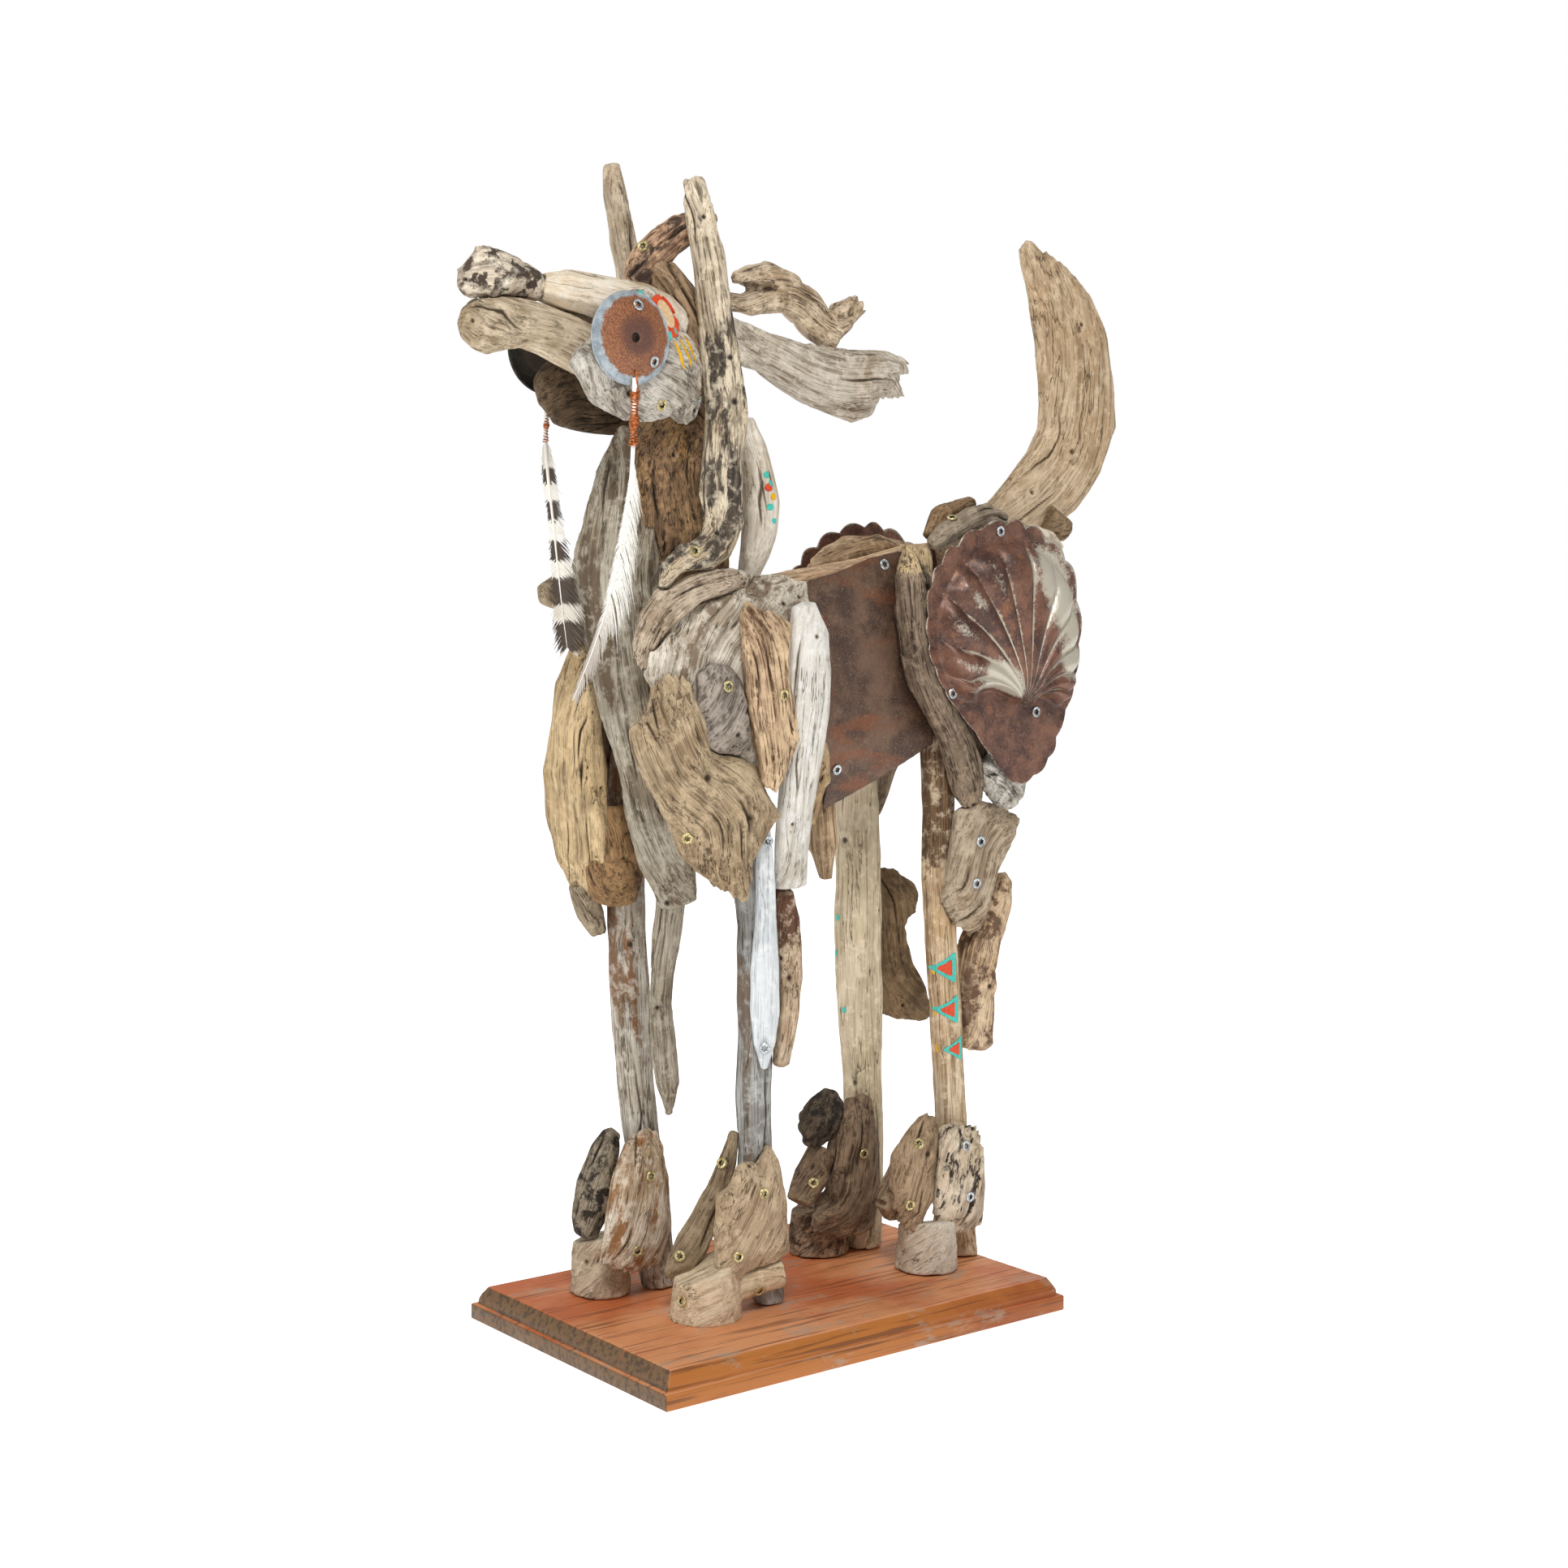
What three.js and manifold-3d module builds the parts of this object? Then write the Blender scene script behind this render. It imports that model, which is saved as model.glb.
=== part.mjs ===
// A horse built from driftwood and found metal, standing on a moulded wooden plinth.
// Millimetres, +Z up. The horse faces -Y and its left side faces +X. The origin is the
// centre of the plinth's underside.
//
// Each piece is first made whole. Pieces are then fitted from the outside inwards: an inner
// piece is cut back wherever a piece that lies over it would run into it, with a small gap.

import * as THREE from 'three';
import { mergeVertices } from 'three/addons/utils/BufferGeometryUtils.js';
import Module from 'manifold-3d';

const wasm = await Module();
wasm.setup();

// Plinth
const PLINTH_LENGTH = 440;
const PLINTH_WIDTH = 308;
const PLINTH_HEIGHT = 30;
const PLINTH_SLAB = 15;
const PLINTH_MOULDING = 10;
const PLINTH_CORNER = 4;

// Fit between pieces
const FIT_GAP = 0.8;

// Round metal discs used as eyes
const EYE_RADIUS = 38;
const EYE_HOLE = 4.5;
const EYE_RISE = 8;
const EYE_SHEET = 1.6;
const EYE_TURNS = 16;
const EYE_HEIGHT = 856;
const EYE_FRONT = -188;
const EYE_SIDE = 63;

// Scalloped metal pans on the hips
const SHELL_WALL = 2;
const SHELL_RISE = 24;
const SHELL_FLUTES = 11;
const SHELL_FLUTE_DEPTH = 3.2;
const SHELL_SHIFT = 22;

// Sheet metal on the flank
const SHEET_WALL = 2;
const SHEET_SIDE = 54;

const UP = new THREE.Vector3(0, 0, 1);
const LEFT = [1, 0, 0];
const RIGHT = [-1, 0, 0];
const FRONT = [0, -1, 0];
const CHEST = [0.5, -0.87, 0];

const WOODS = {
  grey: 0x8f8b84,
  pale: 0xc2a98a,
  tan: 0xb58a5e,
  brown: 0x6f4c34,
  dark: 0x43352b,
  bark: 0x5a4a3e,
  white: 0xd8d5cb,
  birch: 0xcfc3a8,
  red: 0x8a4a2c,
};
const METALS = { rust: 0x6b4330, zinc: 0x8d8f8e };

const paint = (color, roughness, metalness) =>
  new THREE.MeshStandardMaterial({ color, roughness, metalness });
const wood = (name) => paint(WOODS[name], 0.85, 0);
const metal = (name) => paint(METALS[name], 0.7, 0.6);

// A closed surface through a list of rings with equally many points, capped by a fan to a
// point at each end.
function skin(rings, firstTip, lastTip) {
  const sides = rings[0].length;
  const points = rings.flat();
  const faces = [];
  for (let r = 0; r + 1 < rings.length; r += 1) {
    for (let s = 0; s < sides; s += 1) {
      const a = r * sides + s;
      const b = r * sides + ((s + 1) % sides);
      faces.push(a, b, b + sides, a, b + sides, a + sides);
    }
  }
  const last = (rings.length - 1) * sides;
  const first = points.push(firstTip) - 1;
  const end = points.push(lastTip) - 1;
  for (let s = 0; s < sides; s += 1) {
    const next = (s + 1) % sides;
    faces.push(first, next, s);
    faces.push(end, last + s, last + next);
  }
  return closed(points, faces);
}

// A geometry from points and faces, turned so that its faces point outwards.
function closed(points, faces) {
  const geometry = new THREE.BufferGeometry().setFromPoints(points);
  geometry.setIndex(faces);
  if (volumeOf(geometry) < 0) {
    for (let i = 0; i < faces.length; i += 3) {
      [faces[i], faces[i + 1]] = [faces[i + 1], faces[i]];
    }
    geometry.setIndex(faces);
  }
  return geometry;
}

function volumeOf(geometry) {
  const place = geometry.attributes.position;
  const index = geometry.index;
  const corner = [new THREE.Vector3(), new THREE.Vector3(), new THREE.Vector3()];
  let volume = 0;
  for (let i = 0; i < index.count; i += 3) {
    corner.forEach((point, k) => point.fromBufferAttribute(place, index.getX(i + k)));
    volume += corner[0].dot(corner[1].clone().cross(corner[2])) / 6;
  }
  return volume;
}

// A number or a list of numbers, read as a smooth curve through its values at t from 0 to 1.
function along(values, count) {
  const list = Array.isArray(values) ? values : Array(count).fill(values);
  const steps = list.length - 1;
  return (t) => {
    const at = Math.min(t * steps, steps - 1e-9);
    const i = Math.floor(at);
    const u = at - i;
    const ease = u * u * (3 - 2 * u);
    return list[i] + (list[i + 1] - list[i]) * (0.5 * u + 0.5 * ease);
  };
}

// A length of driftwood. `spine` runs along its middle, `wide` is its width across the broad
// face, which looks along `face`, and `deep` is its thickness. `square` is 1 for a round
// section and lower for a board, `ends` rounds off the two ends, and `knots` is how uneven
// the surface is, as a share of the width.
function limb(spec) {
  const { spine, wide, deep = wide, face = FRONT, square = 0.8, ends = [0.5, 0.5] } = spec;
  const { sides = 10, knots = 0.05, seed = 1, density = 2 } = spec;
  const curve = new THREE.CatmullRomCurve3(
    spine.map((p) => new THREE.Vector3(...p)), false, 'centripetal');
  const width = along(wide, spine.length);
  const depth = along(deep, spine.length);
  const steps = Math.max(4, Math.round(density * (spine.length - 1)));
  const facing = new THREE.Vector3(...face);
  const power = (value) => Math.sign(value) * Math.abs(value) ** square;

  const rings = [];
  for (let r = 0; r <= steps; r += 1) {
    const t = r / steps;
    const middle = curve.getPoint(t);
    const tangent = curve.getTangent(t);
    const normal = facing.clone().addScaledVector(tangent, -facing.dot(tangent)).normalize();
    const across = tangent.clone().cross(normal);
    const taper = r === 0 ? 1 - 0.4 * ends[0] : r === steps ? 1 - 0.4 * ends[1] : 1;
    const ring = [];
    for (let s = 0; s < sides; s += 1) {
      const angle = (2 * Math.PI * (s + 0.5)) / sides;
      const bump = 1 + knots * (Math.sin(2 * angle + 2.3 * r + seed)
        + Math.sin(3 * angle - 1.7 * r + 2.1 * seed));
      ring.push(middle.clone()
        .addScaledVector(across, power(Math.cos(angle)) * width(t) * taper * bump / 2)
        .addScaledVector(normal, power(Math.sin(angle)) * depth(t) * taper * bump / 2));
    }
    rings.push(ring);
  }
  const tip = (t, sign, round) => curve.getPoint(t).addScaledVector(
    curve.getTangent(t), sign * round * 0.3 * Math.min(width(t), depth(t)));
  return skin(rings, tip(0, -1, ends[0]), tip(1, 1, ends[1]));
}

// A flat piece that weather has shaped: `outline` goes round it as seen from the horse's side,
// `side` is where its middle lies across the horse, `deep` is its thickness, and `lean` is how
// far it tilts outwards for each millimetre of length and of height.
function slab({ outline, side, deep, lean = [0, 0], count = outline.length }) {
  const curve = new THREE.CatmullRomCurve3(
    outline.map(([y, z]) => new THREE.Vector3(0, y, z)), true, 'centripetal');
  const edge = Array.from({ length: count }, (_, i) => curve.getPoint(i / count));
  const middle = edge.reduce((sum, p) => sum.add(p), new THREE.Vector3()).divideScalar(count);
  const layers = [[-0.5, 0.64], [-0.26, 0.95], [0.12, 1], [0.5, 0.66]];
  const place = (y, z, x) => new THREE.Vector3(
    side + x * deep + lean[0] * (y - middle.y) + lean[1] * (z - middle.z), y, z);
  const rings = layers.map(([x, share]) => edge.map((p) => place(
    middle.y + (p.y - middle.y) * share, middle.z + (p.z - middle.z) * share, x)));
  return skin(rings, place(middle.y, middle.z, -0.5), place(middle.y, middle.z, 0.56));
}

// Two closed shapes joined into one.
function joined(...geometries) {
  return geometryOf(geometries.map((g) => solidOf(g)).reduce((a, b) => a.add(b)));
}

// The plinth: a plain slab with a small quarter-round step up to its top face.
function plinth() {
  const levels = [
    [0, 0], [PLINTH_SLAB, 0], [PLINTH_SLAB, 3.5], [PLINTH_SLAB + 4, 4.5],
    [PLINTH_HEIGHT - 6, 7], [PLINTH_HEIGHT, PLINTH_MOULDING],
  ];
  const turns = 3;
  const rings = levels.map(([z, inset]) => {
    const x = PLINTH_WIDTH / 2 - inset - PLINTH_CORNER;
    const y = PLINTH_LENGTH / 2 - inset - PLINTH_CORNER;
    const ring = [];
    [[1, 1], [-1, 1], [-1, -1], [1, -1]].forEach(([sx, sy], quarter) => {
      for (let k = 0; k <= turns; k += 1) {
        const angle = (Math.PI / 2) * (quarter + k / turns);
        ring.push(new THREE.Vector3(
          sx * x + PLINTH_CORNER * Math.cos(angle),
          sy * y + PLINTH_CORNER * Math.sin(angle), z));
      }
    });
    return ring;
  });
  return skin(rings, new THREE.Vector3(0, 0, 0), new THREE.Vector3(0, 0, PLINTH_HEIGHT));
}

// A dished disc with a hole, its hollow towards the head.
function eyeDisc(side) {
  const profile = [
    [EYE_HOLE, EYE_RISE], [EYE_RADIUS * 0.45, EYE_RISE * 0.92], [EYE_RADIUS * 0.78, EYE_RISE * 0.3],
    [EYE_RADIUS, 0],
  ];
  const outer = profile.map(([r, h]) => new THREE.Vector2(r, h));
  const inner = profile.map(([r, h]) => new THREE.Vector2(r, h - EYE_SHEET)).reverse();
  const lathe = new THREE.LatheGeometry([...outer, ...inner, outer[0].clone()], EYE_TURNS);
  lathe.rotateZ(side > 0 ? -Math.PI / 2 : Math.PI / 2);
  lathe.translate(side * EYE_SIDE, EYE_FRONT, EYE_HEIGHT);
  return welded(lathe);
}

// A scalloped pan: a thin dished sheet whose flutes fan out from its hub, hollow side in.
// `forward` is how much nearer the chest it sits than its partner.
function shell(side, forward) {
  const hub = new THREE.Vector3(side * 88, 216 - forward, 548);
  const rim = [
    [0, -70], [22, -66], [42, -48], [54, -26], [66, 4], [76, 36], [79, 76], [66, 126],
    [44, 148], [14, 162], [-12, 166], [-46, 160], [-76, 144], [-95, 126], [-106, 104],
    [-108, 74], [-104, 48], [-92, 24], [-80, 6], [-56, -18], [-34, -40], [-18, -56],
  ];
  const outline = new THREE.CatmullRomCurve3(
    rim.map(([y, z]) => new THREE.Vector3(0, y, z)), true, 'centripetal');
  const spokes = 2 * SHELL_FLUTES;
  const shares = [0.97, 0.8, 0.45];
  const layer = (offset, order) => order.map((share) => {
    const ring = [];
    for (let s = 0; s < spokes; s += 1) {
      const edge = outline.getPoint(s / spokes);
      const wave = s % 2 === 0 ? 1 : -1;
      const dome = SHELL_RISE * (1 - share ** 2.2);
      const flute = SHELL_FLUTE_DEPTH * wave * share;
      ring.push(new THREE.Vector3(
        hub.x + side * (dome + flute + offset),
        hub.y + edge.y * share, hub.z + edge.z * share));
    }
    return ring;
  });
  const outside = layer(SHELL_WALL, [...shares].reverse());
  const inside = layer(0, shares);
  const top = hub.clone().add(new THREE.Vector3(side * (SHELL_RISE + SHELL_WALL), 0, 0));
  const bottom = hub.clone().add(new THREE.Vector3(side * SHELL_RISE, 0, 0));
  return skin([...outside, ...inside], top, bottom);
}

// A bent sheet of metal, given by the outline of its face and folded in a little at the back.
function sidePlate() {
  const outline = [
    [-2, 661], [30, 668], [70, 681], [104, 687], [150, 690], [152, 600], [146, 514],
    [90, 487], [29, 459], [25, 494], [13, 529],
  ];
  const shape = new THREE.Shape(outline.map(([y, z]) => new THREE.Vector2(y, z)));
  const sheet = new THREE.ExtrudeGeometry(shape, { depth: SHEET_WALL, bevelEnabled: false });
  sheet.applyMatrix4(new THREE.Matrix4().makeBasis(
    new THREE.Vector3(0, 1, 0), UP, new THREE.Vector3(1, 0, 0)));
  sheet.translate(SHEET_SIDE, 0, 0);
  return welded(sheet);
}

function welded(geometry) {
  const bare = new THREE.BufferGeometry();
  bare.setAttribute('position', geometry.attributes.position.clone());
  if (geometry.index) bare.setIndex(geometry.index.clone());
  const merged = mergeVertices(bare, 1e-4);
  const place = merged.attributes.position;
  const points = [];
  for (let i = 0; i < place.count; i += 1) {
    points.push(new THREE.Vector3().fromBufferAttribute(place, i));
  }
  const index = [...merged.index.array];
  const faces = [];
  for (let i = 0; i < index.length; i += 3) {
    const [a, b, c] = index.slice(i, i + 3);
    if (a !== b && b !== c && a !== c) faces.push(a, b, c);
  }
  return closed(points, faces);
}

// Fitting

function solidOf(geometry) {
  return new wasm.Manifold(new wasm.Mesh({
    numProp: 3,
    vertProperties: new Float32Array(geometry.attributes.position.array),
    triVerts: new Uint32Array(geometry.index.array),
  }));
}

function geometryOf(solid) {
  const mesh = solid.getMesh();
  const geometry = new THREE.BufferGeometry();
  geometry.setAttribute('position', new THREE.BufferAttribute(mesh.vertProperties, 3));
  geometry.setIndex(new THREE.BufferAttribute(mesh.triVerts, 1));
  return geometry;
}

// The same shape with every surface moved out by the fitting gap.
function swollen(geometry) {
  const grown = geometry.clone();
  grown.computeVertexNormals();
  const place = grown.attributes.position;
  const normal = grown.attributes.normal;
  for (let i = 0; i < place.count; i += 1) {
    place.setXYZ(i,
      place.getX(i) + FIT_GAP * normal.getX(i),
      place.getY(i) + FIT_GAP * normal.getY(i),
      place.getZ(i) + FIT_GAP * normal.getZ(i));
  }
  return grown;
}

function largest(solid) {
  return solid.decompose().sort((a, b) => b.volume() - a.volume())[0];
}

const pieces = [];

function add(name, material, geometry) {
  pieces.push({ name, material, geometry });
}

// Every piece below is in fitting order, the outer pieces before the ones they lie over.

add('plinth', wood('red'), plinth());

// Head
add('eye_disc_left', metal('zinc'), eyeDisc(1));
add('eye_disc_right', metal('rust'), eyeDisc(-1));
add('cheek_left', wood('grey'), slab({
  outline: [
    [-237, 835], [-228, 848], [-215, 857], [-198, 877], [-176, 898], [-155, 901], [-136, 881],
    [-113, 857], [-106, 836], [-109, 816], [-112, 798], [-122, 790], [-133, 797], [-159, 791],
    [-185, 791], [-212, 802], [-225, 819],
  ],
  side: 46, deep: 26,
}));
add('cheek_right', wood('brown'), limb({
  spine: [[-42, -206, 835], [-44, -180, 818], [-42, -140, 815], [-38, -104, 826]],
  wide: [34, 58, 62, 44], deep: 20, face: RIGHT, knots: 0.04, sides: 8, seed: 4,
}));
add('forelock', wood('red'), limb({
  spine: [[34, -84, 968], [22, -108, 952], [8, -130, 931], [0, -142, 906]],
  wide: [22, 29, 36, 26], deep: [16, 22, 24, 16], face: [0.7, -0.7, 0.2], sides: 8, seed: 2,
}));
add('neck_branch', wood('pale'), limb({
  spine: [
    [46, -113, 990], [47, -104, 950], [50, -96, 893], [53, -87, 840], [56, -89, 793],
    [60, -96, 739], [64, -98, 702], [68, -118, 682], [70, -147, 678], [70, -163, 655],
  ],
  wide: [20, 27, 29, 33, 35, 37, 35, 28, 23, 12],
  deep: [14, 22, 25, 28, 29, 31, 29, 25, 20, 10], face: [0.8, -0.6, 0.1], density: 1.5,
}));
add('ear_right', wood('tan'), limb({
  spine: [
    [-40, -136, 1012], [-40, -131, 978], [-38, -122, 926], [-40, -108, 870], [-44, -100, 800],
    [-52, -96, 720], [-58, -92, 665],
  ],
  wide: [17, 22, 24, 28, 32, 34, 24], deep: [12, 17, 20, 24, 26, 26, 18],
  face: [0.6, -0.8, 0], density: 1.4, sides: 8, seed: 3,
}));
add('muzzle_bark', wood('bark'), limb({
  spine: [[0, -307, 894], [0, -288, 906], [0, -262, 905], [2, -236, 898]],
  wide: [22, 46, 34, 24], deep: [20, 44, 40, 28], face: [0.8, -0.6, 0.2], knots: 0.07, seed: 5,
}));
add('jaw_lower', wood('tan'), limb({
  spine: [[0, -303, 862], [0, -280, 867], [2, -247, 867], [6, -212, 857], [10, -176, 840]],
  wide: [34, 50, 38, 42, 44], deep: [34, 50, 46, 44, 40], face: LEFT, knots: 0.03, sides: 8, seed: 6,
}));
add('nose_upper', wood('tan'), limb({
  spine: [[4, -236, 899], [8, -197, 894], [14, -152, 884], [18, -112, 868]],
  wide: [30, 38, 48, 50], deep: [34, 50, 58, 52], face: LEFT, knots: 0.03, sides: 8, seed: 7,
}));
add('mane_board', wood('tan'), slab({
  outline: [
    [-66, 886], [-27, 876], [26, 866], [77, 866], [128, 868], [154, 860], [155, 852],
    [140, 846], [145, 831], [123, 827], [108, 809], [83, 802], [40, 811], [6, 824],
    [-30, 842], [-66, 850],
  ],
  side: 12, deep: 26, lean: [-0.08, 0],
}));
add('mane_twist', wood('pale'), joined(
  limb({
    spine: [[8, -46, 919], [6, -8, 926], [2, 22, 912], [0, 47, 895], [0, 66, 878], [0, 82, 897], [0, 100, 906]],
    wide: [16, 27, 36, 32, 34, 30, 20], deep: [14, 24, 28, 26, 26, 24, 16], face: LEFT,
    knots: 0.07, density: 1, seed: 9, sides: 8,
  }),
  limb({
    spine: [[12, -68, 898], [9, -20, 900], [3, 18, 904]],
    wide: [20, 23, 24], deep: [16, 20, 20], face: LEFT, density: 1, seed: 10, sides: 8,
  }),
));
add('nape', wood('brown'), limb({
  spine: [[10, -128, 925], [12, -104, 890], [16, -84, 850], [18, -74, 800]],
  wide: [30, 42, 46, 38], deep: [36, 44, 48, 42], face: LEFT, sides: 8, density: 1.3, seed: 11,
}));

// Feathers hung from the eye discs
const feather = (spec) => limb({
  deep: [3, 3, 2.4, 2.4, 2.4, 2.4, 1.6], square: 1, ends: [0, 0], sides: 8, knots: 0,
  density: 1, face: [0.8, -0.6, 0], ...spec,
});
add('feather_left', wood('white'), feather({
  spine: [
    [66, -186, 812], [66, -186, 776], [66, -188, 742], [66, -198, 696], [66, -210, 656],
    [66, -226, 612], [66, -247, 564],
  ],
  wide: [3, 5, 10, 22, 25, 18, 4],
}));
add('feather_right', wood('tan'), feather({
  spine: [
    [-66, -185, 812], [-66, -187, 784], [-60, -189, 752], [-46, -193, 712], [-33, -196, 675],
    [-25, -197, 640], [-20, -195, 601],
  ],
  wide: [3, 5, 16, 15, 21, 28, 15],
}));

// Hips and tail
add('shell_left', metal('rust'), shell(1, 0));
add('shell_right', metal('rust'), shell(-1, SHELL_SHIFT));
add('rump_strip', wood('grey'), limb({
  spine: [[68, 130, 694], [64, 165, 709], [58, 203, 721], [52, 232, 716]],
  wide: [15, 21, 22, 14], deep: [12, 16, 16, 12], face: LEFT, sides: 8, seed: 12,
}));
add('stifle_block', wood('white'), limb({
  spine: [[70, 198, 500], [71, 216, 478], [71, 232, 458]],
  wide: [34, 46, 34], deep: [20, 28, 20], face: LEFT, knots: 0.08, sides: 8, seed: 53,
}));
add('thigh_left', wood('brown'), limb({
  spine: [
    [62, 119, 688], [68, 107, 647], [72, 111, 600], [72, 130, 556], [68, 159, 522],
    [64, 177, 484], [60, 188, 458],
  ],
  wide: [40, 35, 31, 31, 34, 38, 28], deep: [26, 28, 27, 27, 28, 26, 18], face: LEFT,
  density: 1.5, seed: 13,
}));
add('thigh_right', wood('brown'), limb({
  spine: [[-68, 178, 690], [-72, 196, 620], [-68, 188, 550], [-60, 176, 490], [-50, 158, 440]],
  wide: [50, 70, 64, 48, 26], deep: [20, 26, 26, 24, 16], face: RIGHT, sides: 8, seed: 14,
}));
add('side_plate', metal('rust'), sidePlate());
add('croup_block', wood('grey'), limb({
  spine: [[-44, 88, 668], [-46, 126, 682], [-46, 162, 686], [-44, 204, 676]],
  wide: [30, 36, 36, 28], deep: [34, 44, 44, 34], face: LEFT, sides: 8, density: 1.5, seed: 15,
}));
add('tail', wood('tan'), limb({
  spine: [
    [0, 304, 976], [0, 340, 934], [0, 366, 891], [0, 377, 846], [0, 372, 802], [0, 345, 758],
    [0, 299, 724], [2, 250, 700], [4, 205, 684],
  ],
  wide: [20, 66, 94, 98, 94, 80, 64, 46, 34], deep: [14, 24, 30, 34, 36, 38, 38, 36, 30],
  face: LEFT, density: 1.4, knots: 0.03, sides: 10, seed: 16,
}));

// Shoulders and breast
add('shoulder_stripe', wood('tan'), slab({
  outline: [
    [-102, 647], [-106, 637], [-104, 610], [-102, 572], [-94, 533], [-86, 493], [-72, 483],
    [-63, 495], [-48, 527], [-50, 549], [-59, 583], [-56, 626], [-77, 636], [-90, 638],
  ],
  side: 103, deep: 16,
}));
add('shoulder_board', wood('pale'), limb({
  spine: [
    [98, -38, 641], [98, -32, 604], [94, -30, 556], [88, -34, 500], [80, -35, 444],
    [74, -33, 400],
  ],
  wide: [30, 44, 47, 39, 34, 31], deep: [16, 20, 22, 20, 18, 16], face: LEFT,
  ends: [0.6, 0], density: 1.4, knots: 0.03, seed: 18,
}));
add('shoulder_plank', wood('grey'), slab({
  outline: [
    [-142, 585], [-130, 594], [-113, 592], [-102, 581], [-95, 565], [-91, 548], [-94, 517],
    [-124, 519], [-141, 530], [-144, 556],
  ],
  side: 94, deep: 16, lean: [0.1, 0],
}));
add('elbow_slab', wood('tan'), slab({
  outline: [
    [-167, 585], [-182, 574], [-191, 553], [-202, 543], [-199, 525], [-188, 498], [-173, 473],
    [-153, 432], [-122, 406], [-94, 397], [-89, 411], [-87, 427], [-70, 451], [-58, 464],
    [-72, 482], [-83, 506], [-97, 515], [-135, 525], [-141, 542], [-145, 566], [-154, 581],
  ],
  side: 87, deep: 30, lean: [0.08, 0],
}));
add('shoulder_arch', wood('grey'), limb({
  spine: [[56, -171, 592], [64, -171, 619], [72, -157, 642], [78, -124, 658], [76, -87, 662]],
  wide: [18, 28, 32, 28, 18], deep: [14, 18, 20, 18, 14], face: [0.8, -0.4, 0.4], density: 1.5, sides: 8, seed: 21,
}));
add('shoulder_left', wood('pale'), slab({
  outline: [
    [-104, 674], [-59, 666], [-40, 666], [-16, 659], [-13, 637], [-17, 596], [-27, 541],
    [-48, 493], [-95, 480], [-137, 510], [-161, 559], [-177, 583], [-175, 602], [-157, 625],
    [-132, 653],
  ],
  side: 70, deep: 40, lean: [0.05, -0.05],
}));
add('shoulder_right', wood('brown'), limb({
  spine: [
    [-66, -192, 650], [-72, -158, 650], [-76, -118, 616], [-74, -96, 560], [-68, -96, 490],
    [-60, -106, 430],
  ],
  wide: [22, 40, 84, 92, 78, 46], deep: [18, 26, 34, 34, 30, 20], face: RIGHT,
  density: 1.7, sides: 8, seed: 23,
}));
add('breast_right', wood('tan'), limb({
  spine: [[-52, -160, 604], [-57, -165, 553], [-58, -167, 497], [-56, -163, 441], [-53, -153, 389]],
  wide: [30, 62, 78, 86, 60], deep: [22, 30, 32, 30, 20], face: FRONT, density: 1.5, seed: 24,
}));
add('breast_board', wood('grey'), limb({
  spine: [
    [0, -140, 787], [0, -150, 733], [0, -161, 679], [4, -160, 617], [10, -155, 560],
    [20, -146, 502], [25, -134, 446], [30, -119, 388],
  ],
  wide: [42, 62, 82, 66, 55, 50, 52, 46], deep: [24, 30, 34, 36, 34, 32, 30, 20],
  face: CHEST, density: 1.4, sides: 8, seed: 25,
}));

// Neck
add('neck_centre', wood('dark'), limb({
  spine: [[12, -112, 800], [14, -112, 760], [16, -108, 700], [16, -100, 650]],
  wide: [64, 84, 100, 90], deep: [46, 54, 60, 56], face: LEFT, sides: 8, seed: 26,
}));
add('neck_back', wood('grey'), limb({
  spine: [[20, -46, 796], [22, -28, 750], [28, -31, 706], [34, -48, 664]],
  wide: [26, 32, 32, 20], deep: [26, 30, 30, 22], face: LEFT, sides: 8, seed: 27,
}));

// Boards and sticks on the legs
add('elbow_slat', wood('white'), limb({
  spine: [
    [88, -71, 466], [82, -67, 433], [76, -61, 376], [72, -59, 320], [70, -58, 277],
    [68, -57, 244],
  ],
  wide: [7, 15, 19, 27, 25, 7], deep: [10, 14, 14, 14, 14, 10], face: [0.8, -0.6, 0],
  square: 0.5, density: 1.4, knots: 0.03, sides: 8, seed: 28,
}));
add('knee_stick', wood('tan'), limb({
  spine: [[64, -33, 396], [62, -29, 358], [62, -26, 318], [62, -29, 280], [62, -34, 243]],
  wide: [24, 26, 24, 21, 18], density: 1.5, sides: 8, seed: 29,
}));
add('chest_stick', wood('tan'), limb({
  spine: [
    [14, -112, 414], [8, -118, 342], [6, -123, 303], [4, -120, 271], [4, -114, 238],
    [4, -112, 200],
  ],
  wide: [30, 23, 19, 24, 23, 10], density: 1.4, sides: 8, seed: 30,
}));
add('hock_slab_left', wood('tan'), slab({
  outline: [
    [187, 462], [169, 453], [163, 413], [155, 368], [167, 348], [186, 337], [197, 341],
    [208, 371], [217, 394], [238, 426], [244, 442], [216, 456],
  ],
  side: 60, deep: 26,
}));
add('hock_stick_left', wood('bark'), limb({
  spine: [[52, 235, 384], [50, 223, 356], [48, 208, 319], [46, 206, 277], [46, 207, 228]],
  wide: [26, 32, 38, 36, 32], ends: [0.8, 0], density: 1.5, sides: 8, seed: 32,
}));
add('hock_board_right', wood('bark'), slab({
  outline: [
    [150, 392], [197, 384], [220, 370], [226, 358], [208, 348], [200, 336], [214, 309],
    [218, 291], [232, 265], [244, 243], [238, 233], [200, 237], [160, 253], [142, 293],
    [140, 348],
  ],
  side: -60, deep: 22,
}));

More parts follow.
